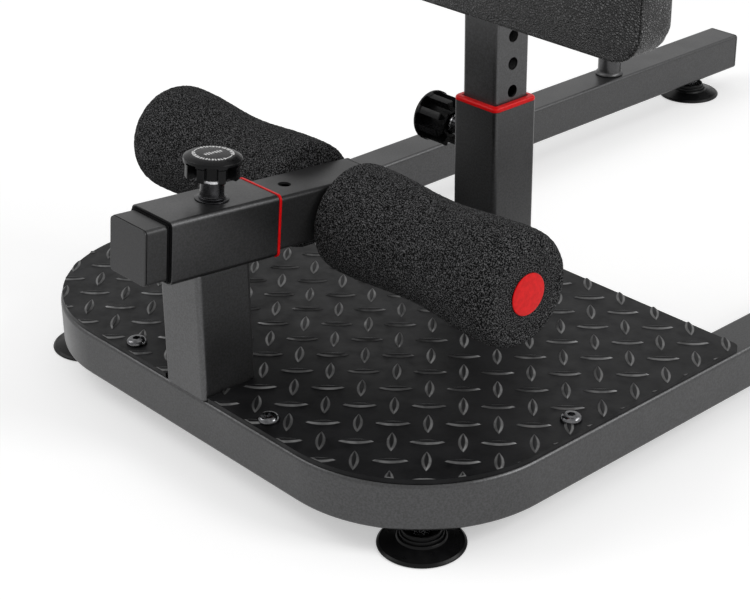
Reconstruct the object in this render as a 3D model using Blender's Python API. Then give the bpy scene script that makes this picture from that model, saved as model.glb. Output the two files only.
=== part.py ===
"""Sissy squat bench: a floor frame bent from square tube, a raised-pattern tread plate, a telescoping
carriage with two foam rollers, and a leather pad on a height-adjustable post.

Metres. X is across, Y runs from the roller end to the open rear end, Z is up, the floor is Z = 0.
"""
import math

import bmesh
import bpy
from mathutils import Matrix, Vector

# Gap between pieces that touch on the real bench.
GAP = 0.0003

# Floor frame: one square tube bent into a U that opens to the rear.
RAIL = 0.041
RAIL_WALL = 0.002
RAIL_CORNER = 0.003
RAIL_BOTTOM = 0.023
RAIL_TOP = RAIL_BOTTOM + RAIL
RAIL_X = 0.24725
BEND_RADIUS = 0.1095
BEND_Y = -0.3503
REAR_END = 0.52716
CAP_FLANGE = 0.003
FRONT_FACE = BEND_Y - BEND_RADIUS - RAIL / 2

# Tread plate with its raised lenses, set out on a square grid and laid along the diagonals.
PLATE_BOTTOM = RAIL_TOP + GAP
PLATE_TOP = 0.068
PLATE_HALF = 0.2655
PLATE_FRONT = -0.4786
PLATE_REAR = -0.1021
PLATE_FRONT_RADIUS = 0.128
PLATE_REAR_RADIUS = 0.009
LENS_LENGTH = 0.031
LENS_WIDTH = 0.0086
LENS_HEIGHT = 0.0015
LENS_PITCH_X = 0.0384
LENS_PITCH_Y = 0.0386
LENS_START = (0.1000, -0.4558)
PLATE_BOLTS = ((0.087, -0.4644), (-0.087, -0.4644), (0.248, -0.293), (-0.248, -0.293))

# Front post and the tilted sleeve on it. The carriage tube slides along the sleeve's axis.
POST_WIDTH = 0.055
POST_DEPTH = 0.048
POST_WALL = 0.0025
TILT = math.radians(5.436)
SLEEVE_AT = Vector((0.0, -0.4103, 0.1927))
SLEEVE = 0.0522
SLEEVE_WALL = 0.002
SLEEVE_MOUTH = -0.0926
SLEEVE_END = 0.0118
INNER = 0.0457
INNER_WALL = 0.002
INNER_FRONT = -0.1152
INNER_REAR = 0.126
CARRIAGE_HOLE = 0.011
CARRIAGE_PITCH = 0.0246
CARRIAGE_HOLES = tuple(0.0387 - CARRIAGE_PITCH * k for k in range(6))
FRONT_PIN_AT = CARRIAGE_HOLES[3]

# Foam rollers on their axle.
AXLE_AT = Vector((0.0, -0.319, 0.1767))
AXLE_RADIUS = 0.0125
AXLE_HALF = 0.2215
FOAM_INNER = 0.0275
FOAM_OUTER = 0.2220
FOAM_BORE = 0.0129
FOAM_BULGE = 0.0478
FOAM_BULGE_IN = 0.0455
FOAM_WAIST = 0.0427
FOAM_END_ROUND = 0.017

# Rear sleeve, pad post and its holes.
REAR_SLEEVE = 0.0518
REAR_SLEEVE_Y = -0.1275
REAR_SLEEVE_TOP = 0.221
PAD_POST = 0.0411
PAD_POST_WALL = 0.002
PAD_POST_BOTTOM = 0.143
PAD_POST_TOP = 0.478
REAR_PIN_Z = 0.1827
PAD_POST_PITCH = 0.0252
PAD_POST_HOLE = 0.0107

# Leather pad.
PAD_WIDTH = 0.422
PAD_HEIGHT = 0.200
PAD_BOTTOM = 0.320
PAD_FRONT = -0.195
PAD_BACK = -0.153
PAD_CORNER = 0.035

# Lock knobs: skirt start and rim above the face that the knob stands on, and the pockets' turn in degrees.
FRONT_KNOB = (0.0187, 0.0349, 4)
REAR_KNOB = (0.0250, 0.0545, 9)
KNOB_RIM = 0.0233
KNOB_SKIRT = 0.0220
PIN_RADIUS = 0.00475

# Levelling feet.
FRONT_FOOT = (0.2183, -0.4250)
REAR_FOOT = (RAIL_X, 0.4657)
FOOT_RADIUS = 0.035

# Band pegs on the rails.
PEG_Y = 0.3165
PEG_RADIUS = 0.013
PEG_HEIGHT = 0.060


for old in list(bpy.data.objects):
    bpy.data.objects.remove(old, do_unlink=True)


def material(name, colour, roughness, metallic=0.0):
    """A painted, moulded or bare surface."""
    look = bpy.data.materials.new(name)
    look.use_nodes = True
    shader = look.node_tree.nodes["Principled BSDF"]
    shader.inputs["Base Color"].default_value = (colour[0], colour[1], colour[2], 1.0)
    shader.inputs["Roughness"].default_value = roughness
    shader.inputs["Metallic"].default_value = metallic
    return look


def add(name, bm, look, at=(0, 0, 0), turn=(0, 0, 0), parent=None, smooth=35):
    """Turn a bmesh into a named object, smooth up to the given angle between faces."""
    bmesh.ops.recalc_face_normals(bm, faces=bm.faces)
    mesh = bpy.data.meshes.new(name)
    bm.to_mesh(mesh)
    bm.free()
    mesh.materials.append(look)
    if smooth:
        mesh.shade_smooth()
        mesh.set_sharp_from_angle(angle=math.radians(smooth))
    piece = bpy.data.objects.new(name, mesh)
    bpy.context.scene.collection.objects.link(piece)
    piece.location = at
    piece.rotation_euler = turn
    piece.parent = parent
    return piece


def empty(name, at, turn=(0, 0, 0), parent=None):
    """A frame that carries pieces."""
    guide = bpy.data.objects.new(name, None)
    bpy.context.scene.collection.objects.link(guide)
    guide.location = at
    guide.rotation_euler = turn
    guide.parent = parent
    return guide


def boolean(piece, tool, operation="DIFFERENCE"):
    """Cut one piece with another, or join them, and keep the tool as a hidden guide."""
    step = piece.modifiers.new(tool.name, "BOOLEAN")
    step.object = tool
    step.operation = operation
    step.solver = "EXACT"
    tool.hide_render = True
    tool.display_type = "WIRE"


def outline(width, depth, radius, steps):
    """A rectangle with rounded corners about the origin, as (x, y) points, anticlockwise."""
    points = []
    for sx, sy, start in ((1, 1, 0), (-1, 1, 90), (-1, -1, 180), (1, -1, 270)):
        for i in range(steps + 1):
            angle = math.radians(start + 90 * i / steps)
            x = sx * (width / 2 - radius) + radius * math.cos(angle)
            y = sy * (depth / 2 - radius) + radius * math.sin(angle)
            points.append((x, y))
    return points


def circle(radius, steps, start=0.0):
    """Points round a circle, anticlockwise."""
    turn = 2 * math.pi / steps
    return [(radius * math.cos(start + turn * i), radius * math.sin(start + turn * i)) for i in range(steps)]


def level(points, z):
    """The same outline at one height."""
    return [(x, y, z) for x, y in points]


def hollow_loft(sections):
    """An open-ended tube through a run of (outer, inner) outlines with equal numbers of points."""
    bm = bmesh.new()
    rows = [[[bm.verts.new(p) for p in loop] for loop in pair] for pair in sections]
    n = len(rows[0][0])
    for here, there in zip(rows, rows[1:]):
        for a, b in zip(here, there):
            for i in range(n):
                bm.faces.new((a[i], a[(i + 1) % n], b[(i + 1) % n], b[i]))
    for outer, inner in (rows[0], rows[-1]):
        for i in range(n):
            bm.faces.new((outer[i], outer[(i + 1) % n], inner[(i + 1) % n], inner[i]))
    return bm


def loft(rings):
    """A closed solid through a stack of outlines, capped flat at both ends."""
    bm = bmesh.new()
    rows = [[bm.verts.new(p) for p in points] for points in rings]
    n = len(rows[0])
    for low, high in zip(rows, rows[1:]):
        for i in range(n):
            bm.faces.new((low[i], low[(i + 1) % n], high[(i + 1) % n], high[i]))
    bm.faces.new(rows[0])
    bm.faces.new(rows[-1])
    return bm


def turned(profile, steps):
    """A body turned about Z. The profile is a closed run of (radius, z) points, or ends on the axis."""
    bm = bmesh.new()
    verts = [bm.verts.new((r, 0, z)) for r, z in profile]
    edges = [bm.edges.new(pair) for pair in zip(verts, verts[1:])]
    if profile[0][0] > 0 or profile[-1][0] > 0:
        edges.append(bm.edges.new((verts[-1], verts[0])))
    bmesh.ops.spin(bm, geom=verts + edges, cent=(0, 0, 0), axis=(0, 0, 1), angle=2 * math.pi,
                   steps=steps, use_merge=True, use_duplicate=False)
    bmesh.ops.remove_doubles(bm, verts=bm.verts, dist=1e-6)
    return bm


def square_tube(width, depth, wall, length, corner=RAIL_CORNER, z=0.0):
    """A straight square tube along Z, open at both ends."""
    outer = outline(width, depth, corner, 2)
    inner = outline(width - 2 * wall, depth - 2 * wall, max(corner - wall, 0.0006), 2)
    top = z + length
    return hollow_loft([(level(outer, z), level(inner, z)), (level(outer, top), level(inner, top))])


def end_plug(size, wall, depth):
    """A moulded tube plug: its thin flange's face lies at z = 0 and its body runs down inside the tube."""
    inside = size - 2 * (wall + GAP)
    face = outline(size - 0.0012, size - 0.0012, RAIL_CORNER - 0.0006, 2)
    flange = outline(size, size, RAIL_CORNER, 2)
    body = outline(inside, inside, 0.0009, 2)
    return loft([level(face, 0), level(flange, -0.0006), level(flange, -CAP_FLANGE), level(body, -CAP_FLANGE),
                 level(body, -CAP_FLANGE - depth)])


def flanged_bush(size, body, bore, thick, depth, chamfer):
    """A square bush: a chamfered flange that stands on the tube's end, and a thin body inside the tube."""
    bm = bmesh.new()
    inner = outline(bore, bore, 0.0022, 2)
    full = outline(size, size, 0.0034, 2)
    shoulder = outline(size - 2 * chamfer, size - 2 * chamfer, 0.0026, 2)
    low = outline(body, body, 0.0024, 2)
    rows = [level(inner, -depth), level(low, -depth), level(low, GAP), level(full, GAP),
            level(full, thick - chamfer), level(shoulder, thick), level(inner, thick)]
    loops = [[bm.verts.new(p) for p in row] for row in rows]
    n = len(inner)
    for here, there in zip(loops, loops[1:] + loops[:1]):
        for i in range(n):
            bm.faces.new((here[i], here[(i + 1) % n], there[(i + 1) % n], there[i]))
    return bm


def cylinder(radius, low, high, steps=16):
    """A plain solid cylinder along Z."""
    return loft([level(circle(radius, steps), low), level(circle(radius, steps), high)])


PAINT = material("powder_coat", (0.105, 0.108, 0.112), 0.42, 0.25)
PAINT_POST = material("powder_coat_post", (0.095, 0.098, 0.102), 0.42, 0.25)
PAINT_SLEEVE = material("powder_coat_sleeve", (0.100, 0.103, 0.107), 0.42, 0.25)
PAINT_INNER = material("powder_coat_inner", (0.095, 0.098, 0.102), 0.45, 0.25)
TREAD = material("tread_paint", (0.018, 0.018, 0.019), 0.40)
PLASTIC = material("black_plastic", (0.020, 0.020, 0.021), 0.38)
PLUG = material("grey_plastic", (0.095, 0.097, 0.100), 0.46)
RED = material("red_plastic", (0.62, 0.020, 0.030), 0.35)
FOAM = material("black_foam", (0.022, 0.022, 0.023), 0.92)
LEATHER = material("black_leather", (0.032, 0.032, 0.034), 0.55)
BOARD = material("plywood", (0.42, 0.30, 0.18), 0.75)
BLACK_STEEL = material("black_oxide_steel", (0.030, 0.030, 0.032), 0.32, 0.8)
BRIGHT_STEEL = material("zinc_plated_steel", (0.62, 0.62, 0.64), 0.26, 1.0)
KNOB = material("knob_plastic", (0.024, 0.024, 0.026), 0.34)
FOOT = material("foot_rubber", (0.016, 0.016, 0.017), 0.50)

bench = empty("bench", (0, 0, 0))

# Floor frame. The square section is carried along both rails and round two bends.
section = outline(RAIL, RAIL, RAIL_CORNER, 2)
hollow = outline(RAIL - 2 * RAIL_WALL, RAIL - 2 * RAIL_WALL, RAIL_CORNER - RAIL_WALL, 2)
tube_end = REAR_END - CAP_FLANGE - GAP
middle_z = RAIL_BOTTOM + RAIL / 2
bend_x = RAIL_X - BEND_RADIUS


def rail_section(side, x, y, degrees):
    """The tube's outlines at (x, y), turned by an angle from the rail's own direction."""
    angle = math.radians(degrees)
    across = Vector((side * math.cos(angle), -math.sin(angle), 0))
    centre = Vector((x, y, middle_z))
    return [[centre + across * u + Vector((0, 0, v)) for u, v in loop] for loop in (section, hollow)]


def rail_half(side):
    """Stations from the rear end of one rail to the end of its bend."""
    stations = [rail_section(side, side * RAIL_X, tube_end, 0)]
    for i in range(11):
        degrees = 9.0 * i
        reach = BEND_RADIUS * math.cos(math.radians(degrees))
        drop = BEND_RADIUS * math.sin(math.radians(degrees))
        stations.append(rail_section(side, side * (bend_x + reach), BEND_Y - drop, degrees))
    return stations


bm = hollow_loft(rail_half(1) + list(reversed(rail_half(-1))))
frame = add("base_tube", bm, PAINT, parent=bench)

# The frame is drilled for the plate's bolts from above and for the feet's studs from below.
drill = bmesh.new()
for x, y in PLATE_BOLTS:
    got = bmesh.ops.create_cone(drill, cap_ends=True, segments=12, radius1=0.0052, radius2=0.0052, depth=0.012)
    bmesh.ops.translate(drill, verts=got["verts"], vec=(x, y, RAIL_TOP))
for side in (1, -1):
    for x, y in (FRONT_FOOT, REAR_FOOT):
        got = bmesh.ops.create_cone(drill, cap_ends=True, segments=12, radius1=0.0056, radius2=0.0056,
                                    depth=0.012)
        bmesh.ops.translate(drill, verts=got["verts"], vec=(side * x, y, RAIL_BOTTOM))
boolean(frame, add("frame_drill", drill, PAINT, parent=bench))

for side, tag in ((1, "near"), (-1, "far")):
    add("rail_cap_" + tag, end_plug(RAIL, RAIL_WALL, 0.016), PLUG,
        (side * RAIL_X, REAR_END, middle_z), (math.radians(-90), 0, 0), bench)

# Rear crossbar, butted between the rails under the plate's rear edge.
bar_half = RAIL_X - RAIL / 2 - GAP
add("rear_crossbar", square_tube(RAIL, RAIL, RAIL_WALL, 2 * bar_half), PAINT,
    (-bar_half, PLATE_REAR - RAIL / 2, middle_z), (0, math.radians(90), 0), bench)

# Tread plate: its outline follows the bent frame and is notched round the front post and the rear sleeve.
def plate_outline():
    points = []
    corners = ((1, 1, 0, PLATE_REAR_RADIUS, PLATE_REAR), (-1, 1, 90, PLATE_REAR_RADIUS, PLATE_REAR),
               (-1, -1, 180, PLATE_FRONT_RADIUS, PLATE_FRONT), (1, -1, 270, PLATE_FRONT_RADIUS, PLATE_FRONT))
    for sx, sy, start, radius, y_edge in corners:
        steps = 12 if radius > 0.02 else 3
        for i in range(steps + 1):
            angle = math.radians(start + 90 * i / steps)
            points.append((sx * (PLATE_HALF - radius) + radius * math.cos(angle),
                           y_edge - sy * radius + radius * math.sin(angle)))
        if start == 0:
            half = REAR_SLEEVE / 2 + GAP
            deep = REAR_SLEEVE_Y - REAR_SLEEVE / 2 - GAP
            points += [(half, PLATE_REAR), (half, deep), (-half, deep), (-half, PLATE_REAR)]
        if start == 180:
            half = POST_WIDTH / 2 + GAP
            deep = FRONT_FACE + POST_DEPTH + GAP
            points += [(-half, PLATE_FRONT), (-half, deep), (half, deep), (half, PLATE_FRONT)]
    return points


edge = plate_outline()
plate = add("tread_plate", loft([level(edge, PLATE_BOTTOM), level(edge, PLATE_TOP)]), TREAD, parent=bench)
drill = bmesh.new()
for x, y in PLATE_BOLTS:
    got = bmesh.ops.create_cone(drill, cap_ends=True, segments=12, radius1=0.0052, radius2=0.0052, depth=0.020)
    bmesh.ops.translate(drill, verts=got["verts"], vec=(x, y, PLATE_TOP))
boolean(plate, add("plate_drill", drill, TREAD, parent=bench))


def lens_fits(x, y):
    """True where a whole lens lies on the plate, clear of its edge, notches and bolt heads."""
    reach = LENS_LENGTH / 2 * math.sqrt(0.5) + 0.002
    far = PLATE_HALF - 0.003 - reach
    if abs(x) > far or y > PLATE_REAR - 0.004 - reach or y < PLATE_FRONT + 0.004 + reach:
        return False
    corner_x = PLATE_HALF - PLATE_FRONT_RADIUS
    corner_y = PLATE_FRONT + PLATE_FRONT_RADIUS
    if abs(x) > corner_x and y < corner_y:
        if math.hypot(abs(x) - corner_x, y - corner_y) > PLATE_FRONT_RADIUS - 0.0165:
            return False
    if abs(x) < POST_WIDTH / 2 + reach + 0.002 and y < FRONT_FACE + POST_DEPTH + reach + 0.002:
        return False
    if abs(x) < REAR_SLEEVE / 2 + reach + 0.002 and y > REAR_SLEEVE_Y - REAR_SLEEVE / 2 - reach - 0.002:
        return False
    for bx, by in PLATE_BOLTS:
        if math.hypot(x - bx, y - by) < 0.0205:
            return False
    return True


def lenses():
    """Every raised lens, as low hipped bodies that start just under the plate's top."""
    bm = bmesh.new()
    count = 0
    for i in range(-10, 10):
        for j in range(0, 10):
            for kind in (0, 1):
                x = LENS_START[0] + LENS_PITCH_X * (i - 0.5 * kind)
                y = LENS_START[1] + LENS_PITCH_Y * (j + 0.5 * kind)
                if not lens_fits(x, y):
                    continue
                count += 1
                sx = 1 if kind else -1
                along = Vector((sx * math.sqrt(0.5), math.sqrt(0.5), 0))
                across = Vector((-along.y, along.x, 0))
                base = Vector((x, y, PLATE_TOP))
                foot = []
                for u, v in ((1, 0), (0.42, 1), (-0.42, 1), (-1, 0), (-0.42, -1), (0.42, -1)):
                    spot = base + along * (u * LENS_LENGTH * 0.56) + across * (v * LENS_WIDTH * 0.6)
                    foot.append(bm.verts.new(spot - Vector((0, 0, 0.0004))))
                top = [bm.verts.new(base + along * (u * LENS_LENGTH * 0.19) + Vector((0, 0, LENS_HEIGHT)))
                       for u in (1, -1)]
                bm.faces.new(foot)
                for a, b, c in ((0, 1, 0), (2, 3, 1), (3, 4, 1), (5, 0, 0)):
                    bm.faces.new((foot[a], foot[b], top[c]))
                bm.faces.new((foot[1], foot[2], top[1], top[0]))
                bm.faces.new((foot[4], foot[5], top[0], top[1]))
    print("lenses on the tread plate:", count)
    return bm


boolean(plate, add("tread_lenses", lenses(), TREAD, parent=bench), "UNION")


def button_bolt():
    """A button-head screw with a hexagon socket; z = 0 is the face that its head rests on."""
    body = turned([(0, 0.0046), (0.0032, 0.0046), (0.0062, 0.0037), (0.0082, 0.0018), (0.0086, 0.0006),
                   (0.0086, GAP), (0.0047, GAP), (0.0047, -0.014), (0, -0.014)], 14)
    return body


def socket():
    """The hexagon that is sunk into a button head."""
    return loft([level(circle(0.0034, 6), 0.0022), level(circle(0.0034, 6), 0.0060)])


for number, (x, y) in enumerate(PLATE_BOLTS, 1):
    bolt = add("plate_bolt_%d" % number, button_bolt(), BLACK_STEEL, (x, y, PLATE_TOP), parent=bench)
    boolean(bolt, add("plate_socket_%d" % number, socket(), BLACK_STEEL, (x, y, PLATE_TOP), parent=bench))

# Front post: a box tube that stands on the frame and ends in a slope under the tilted sleeve.
post_y = FRONT_FACE + POST_DEPTH / 2


def sleeve_underside(y):
    """Height of the sleeve's lower face above the floor at a given y."""
    run = (SLEEVE_AT.y - y) * math.tan(TILT)
    return SLEEVE_AT.z + run - (SLEEVE / 2 + GAP) / math.cos(TILT)


outer = outline(POST_WIDTH, POST_DEPTH, RAIL_CORNER, 2)
inner = outline(POST_WIDTH - 2 * POST_WALL, POST_DEPTH - 2 * POST_WALL, 0.001, 2)
foot = (level(outer, RAIL_TOP + GAP), level(inner, RAIL_TOP + GAP))
head = [[(x, y, sleeve_underside(y + post_y)) for x, y in loop] for loop in (outer, inner)]
bm = hollow_loft([foot, head])
add("front_post", bm, PAINT_POST, (0, post_y, 0), parent=bench)

# Front sleeve and what slides in it. In this tilted frame Y runs down the tube to the rear, Z is its top.
slope = empty("sleeve_axis", SLEEVE_AT, (-TILT, 0, 0), bench)
ALONG = (math.radians(-90), 0, 0)
BACK = (math.radians(90), 0, 0)
SIDE = (0, math.radians(90), 0)
OTHER_SIDE = (0, math.radians(-90), 0)

bm = square_tube(SLEEVE, SLEEVE, SLEEVE_WALL, SLEEVE_END - SLEEVE_MOUTH, z=SLEEVE_MOUTH)
sleeve = add("front_sleeve", bm, PAINT_SLEEVE, turn=ALONG, parent=slope)
boolean(sleeve, add("sleeve_drill", cylinder(0.0058, 0.020, 0.032), PAINT, (0, FRONT_PIN_AT, 0), parent=slope))
bush_body = SLEEVE - 2 * SLEEVE_WALL - 2 * GAP
bush_bore = INNER + 2 * GAP
add("front_liner", flanged_bush(0.0488, bush_body, bush_bore, 0.0015, 0.020, 0.0005), PLASTIC,
    (0, SLEEVE_MOUTH, 0), BACK, slope)
add("front_bushing", flanged_bush(0.0534, bush_body, bush_bore, 0.0030, 0.018, 0.0008), RED,
    (0, SLEEVE_END, 0), ALONG, slope)

# Roller carriage: the inner tube with its row of lock holes, and the axle welded across it.
carriage = empty("carriage", (0, 0, 0), parent=slope)
tube_front = INNER_FRONT + CAP_FLANGE + GAP
tube_rear = INNER_REAR - CAP_FLANGE - GAP
bm = square_tube(INNER, INNER, INNER_WALL, tube_rear - tube_front, z=tube_front)
inner_tube = add("carriage_tube", bm, PAINT_INNER, turn=ALONG, parent=carriage)
drill = bmesh.new()
for s in CARRIAGE_HOLES:
    got = bmesh.ops.create_cone(drill, cap_ends=True, segments=12, radius1=CARRIAGE_HOLE / 2,
                                radius2=CARRIAGE_HOLE / 2, depth=0.012)
    bmesh.ops.translate(drill, verts=got["verts"], vec=(0, s, INNER / 2))
boolean(inner_tube, add("carriage_drill", drill, PAINT, parent=carriage))
axle_at = Matrix.Rotation(TILT, 3, "X") @ (AXLE_AT - SLEEVE_AT)
axle_drill = cylinder(AXLE_RADIUS + GAP, -0.03, 0.03, 20)
boolean(inner_tube, add("axle_drill", axle_drill, PAINT, axle_at, SIDE, carriage))
add("carriage_cap_front", end_plug(INNER, INNER_WALL, 0.016), PLUG, (0, INNER_FRONT, 0), BACK, carriage)
add("carriage_cap_rear", end_plug(INNER, INNER_WALL, 0.014), PLUG, (0, INNER_REAR, 0), ALONG, carriage)
axle_ring = [(AXLE_RADIUS - 0.002, -AXLE_HALF), (AXLE_RADIUS, -AXLE_HALF), (AXLE_RADIUS, AXLE_HALF),
             (AXLE_RADIUS - 0.002, AXLE_HALF)]
add("roller_axle", turned(axle_ring, 24), BLACK_STEEL, axle_at, SIDE, carriage)


def foam_profile():
    """Half section of a foam roller: two rounded shoulders and a shallow waist, z from its middle outward."""
    middle = (FOAM_INNER + FOAM_OUTER) / 2
    shoulder_in = 0.057
    shoulder_out = 0.200
    points = [(FOAM_BORE, FOAM_INNER - middle)]
    stations = [FOAM_INNER + 0.015 * (1 - math.cos(math.radians(22.5 * i))) for i in range(4)]
    stations += [0.0425 + (0.205 - 0.0425) * i / 10 for i in range(11)]
    stations += [0.205 + FOAM_END_ROUND * math.sin(math.radians(18 * i)) for i in range(1, 6)]
    for x in stations:
        turn = 2 * math.pi * (x - shoulder_in) / (shoulder_out - shoulder_in)
        bulge = FOAM_BULGE_IN if x < (shoulder_in + shoulder_out) / 2 else FOAM_BULGE
        radius = bulge - (bulge - FOAM_WAIST) * (0.5 - 0.5 * math.cos(turn))
        if x < shoulder_in or x > shoulder_out:
            radius = bulge
        if x < 0.0425:
            radius += 0.0044 * (math.sqrt(max(0, 1 - ((0.0425 - x) / 0.015) ** 2)) - 1)
        if x > 0.205:
            radius += 0.0095 * (math.sqrt(max(0, 1 - ((x - 0.205) / FOAM_END_ROUND) ** 2)) - 1)
        points.append((radius, x - middle))
    points.append((FOAM_BORE, FOAM_OUTER - middle))
    return points


end_disc = [(0, 0.0017), (0.0157, 0.0017), (0.0165, 0.0010), (0.0165, GAP), (0.0102, GAP),
            (0.0102, -0.014), (0, -0.014)]
roller_middle = (FOAM_INNER + FOAM_OUTER) / 2
for side, tag, turn in ((1, "near", SIDE), (-1, "far", OTHER_SIDE)):
    spot = axle_at + Vector((side * roller_middle, 0, 0))
    add("foam_roller_" + tag, turned(foam_profile(), 32), FOAM, spot, turn, carriage)
    spot = axle_at + Vector((side * FOAM_OUTER, 0, 0))
    add("roller_cap_" + tag, turned(end_disc, 24), RED, spot, turn, carriage)

# Rear sleeve with its red collar, and the post that rises through them.
bm = square_tube(REAR_SLEEVE, REAR_SLEEVE, SLEEVE_WALL, REAR_SLEEVE_TOP - RAIL_TOP - GAP, z=RAIL_TOP + GAP)
rear_sleeve = add("rear_sleeve", bm, PAINT_SLEEVE, (0, REAR_SLEEVE_Y, 0), parent=bench)
rear_pin_at = (-REAR_SLEEVE / 2, REAR_SLEEVE_Y, REAR_PIN_Z)
sleeve_drill = add("rear_sleeve_drill", cylinder(0.0058, -0.006, 0.006), PAINT, rear_pin_at, OTHER_SIDE, bench)
boolean(rear_sleeve, sleeve_drill)
collar_body = REAR_SLEEVE - 2 * SLEEVE_WALL - 2 * GAP
bm = flanged_bush(REAR_SLEEVE + 0.0006, collar_body, PAD_POST + 2 * GAP, 0.006, 0.025, 0.0026)
add("rear_collar", bm, RED, (0, REAR_SLEEVE_Y, REAR_SLEEVE_TOP), parent=bench)

lift = empty("pad_lift", (0, REAR_SLEEVE_Y, 0), parent=bench)
post_length = PAD_POST_TOP - CAP_FLANGE - GAP - PAD_POST_BOTTOM
bm = square_tube(PAD_POST, PAD_POST, PAD_POST_WALL, post_length, z=PAD_POST_BOTTOM)
post = add("pad_post", bm, PAINT_POST, parent=lift)
drill = bmesh.new()
for k in range(-1, 5):
    got = bmesh.ops.create_cone(drill, cap_ends=True, segments=12, radius1=PAD_POST_HOLE / 2,
                                radius2=PAD_POST_HOLE / 2, depth=0.060)
    bmesh.ops.rotate(drill, verts=got["verts"], cent=(0, 0, 0),
                     matrix=Matrix.Rotation(math.radians(90), 3, "Y"))
    bmesh.ops.translate(drill, verts=got["verts"], vec=(0, 0, REAR_PIN_Z + k * PAD_POST_PITCH))
boolean(post, add("pad_post_drill", drill, PAINT, parent=lift))
add("pad_post_cap", end_plug(PAD_POST, PAD_POST_WALL, 0.016), PLUG, (0, 0, PAD_POST_TOP), parent=lift)

# Pad: leather over foam, wrapped round a board that is bolted to a plate on the post's front face.
pad = empty("pad_back", (0, PAD_BACK - REAR_SLEEVE_Y, PAD_BOTTOM + PAD_HEIGHT / 2), BACK, lift)
thick = PAD_BACK - PAD_FRONT
rows = []
for depth, inset in ((0, 0.0070), (0.0022, 0.0026), (0.0055, 0.0006), (0.012, 0.0010), (0.020, 0.0015),
                     (0.028, 0.0010), (thick - 0.0075, 0), (thick - 0.0045, 0.0008), (thick - 0.0020, 0.0036),
                     (thick - 0.0002, 0.0100), (thick + 0.0012, 0.0240), (thick + 0.0025, 0.0480),
                     (thick + 0.0030, 0.0750)):
    corner = max(PAD_CORNER - inset, 0.006)
    rows.append(level(outline(PAD_WIDTH - 2 * inset, PAD_HEIGHT - 2 * inset, corner, 7), depth))
cushion = add("pad_cushion", loft(rows), LEATHER, parent=pad, smooth=60)
recess = outline(PAD_WIDTH - 0.024, PAD_HEIGHT - 0.024, 0.024, 4)
boolean(cushion, add("pad_recess", loft([level(recess, -0.004), level(recess, 0.0085)]), LEATHER, parent=pad))
panel = outline(PAD_WIDTH - 0.024 - 2 * GAP, PAD_HEIGHT - 0.024 - 2 * GAP, 0.024 - GAP, 4)
board = add("pad_board", loft([level(panel, 0), level(panel, 0.0082)]), BOARD, parent=pad)
bracket_top = PAD_BACK - (REAR_SLEEVE_Y - PAD_POST / 2)
plate_back = bracket_top + GAP
bracket_shape = outline(0.150, 0.100, 0.008, 3)
bracket = add("pad_bracket", loft([level(bracket_shape, plate_back), level(bracket_shape, -GAP)]), PAINT_POST,
              parent=pad)
drill = bmesh.new()
for side in (1, -1):
    got = bmesh.ops.create_cone(drill, cap_ends=True, segments=12, radius1=0.0043, radius2=0.0043, depth=0.04)
    bmesh.ops.translate(drill, verts=got["verts"], vec=(side * 0.052, 0, 0))
bracket_drill = add("bracket_drill", drill, PAINT, parent=pad)
boolean(bracket, bracket_drill)
boolean(board, bracket_drill)


def hexagon(across, parts=12):
    """A hexagon as twelve points, corners and mid-sides, so it lofts onto a round shank."""
    points = []
    for i in range(parts):
        radius = across / 2 if i % 2 else across / 2 / math.cos(math.radians(30))
        angle = 2 * math.pi * i / parts
        points.append((radius * math.cos(angle), radius * math.sin(angle)))
    return points


for side, tag in ((1, "near"), (-1, "far")):
    head = plate_back - GAP
    flats = hexagon(0.013)
    shank = circle(0.0039, 12)
    bolt = loft([level(flats, head - 0.005), level(flats, head), level(shank, head), level(shank, 0.007)])
    add("pad_bolt_" + tag, bolt, BRIGHT_STEEL, (side * 0.052, 0, 0), parent=pad, smooth=0)

# Lock pins: a barrel on the sleeve, a steel pin drawn clear of the tube, and a fluted knob on the pin.
def barrel(top):
    """Weld boss, base ring and neck, bored for the pin; z = 0 is the sleeve's face."""
    return turned([(0.0053, GAP), (0.0123, GAP), (0.0121, 0.0014), (0.0108, 0.0024), (0.0108, 0.0046),
                   (0.0097, 0.0053), (0.0097, top - 0.0008), (0.0089, top), (0.0053, top)], 18)


def lock_pin(tip, top):
    """The pin's shank with a chamfered tip."""
    return turned([(0, tip), (0.0036, tip), (PIN_RADIUS, tip + 0.0012), (PIN_RADIUS, top), (0, top)], 16)


def knob_body(start, rim):
    """Fluted knob: a domed head, a skirt, and a cavity that passes over the barrel's neck."""
    blind = rim - 0.0050
    return turned([(0, blind), (0.00505, blind), (0.00505, start + 0.0098), (0.0106, start + 0.0098),
                   (0.0106, start), (KNOB_SKIRT - 0.0006, start), (KNOB_SKIRT, start + 0.0006),
                   (KNOB_SKIRT, rim - 0.0046), (KNOB_RIM, rim - 0.0038), (KNOB_RIM, rim - 0.0008),
                   (KNOB_RIM - 0.0008, rim), (0.0172, rim + 0.0020), (0.0100, rim + 0.0025),
                   (0, rim + 0.0026)], 32)


def flutes(start, rim, phase):
    """Eight pockets round the skirt, open at its lower edge and closed below the head."""
    bm = bmesh.new()
    low_z = start - 0.001
    high_z = rim - 0.0033
    for k in range(8):
        inner = [math.radians(45 * k + 7.8 * i + phase) for i in range(-2, 3)]
        flat = [(0.0199 * math.cos(a), 0.0199 * math.sin(a)) for a in inner]
        flat += [(0.0260 * math.cos(a), 0.0260 * math.sin(a)) for a in reversed(inner)]
        low = [bm.verts.new((x, y, low_z)) for x, y in flat]
        high = [bm.verts.new((x, y, high_z)) for x, y in flat]
        bm.faces.new(low)
        bm.faces.new(high)
        for i in range(len(flat)):
            bm.faces.new((low[i], low[i - 1], high[i - 1], high[i]))
    return bm


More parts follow.
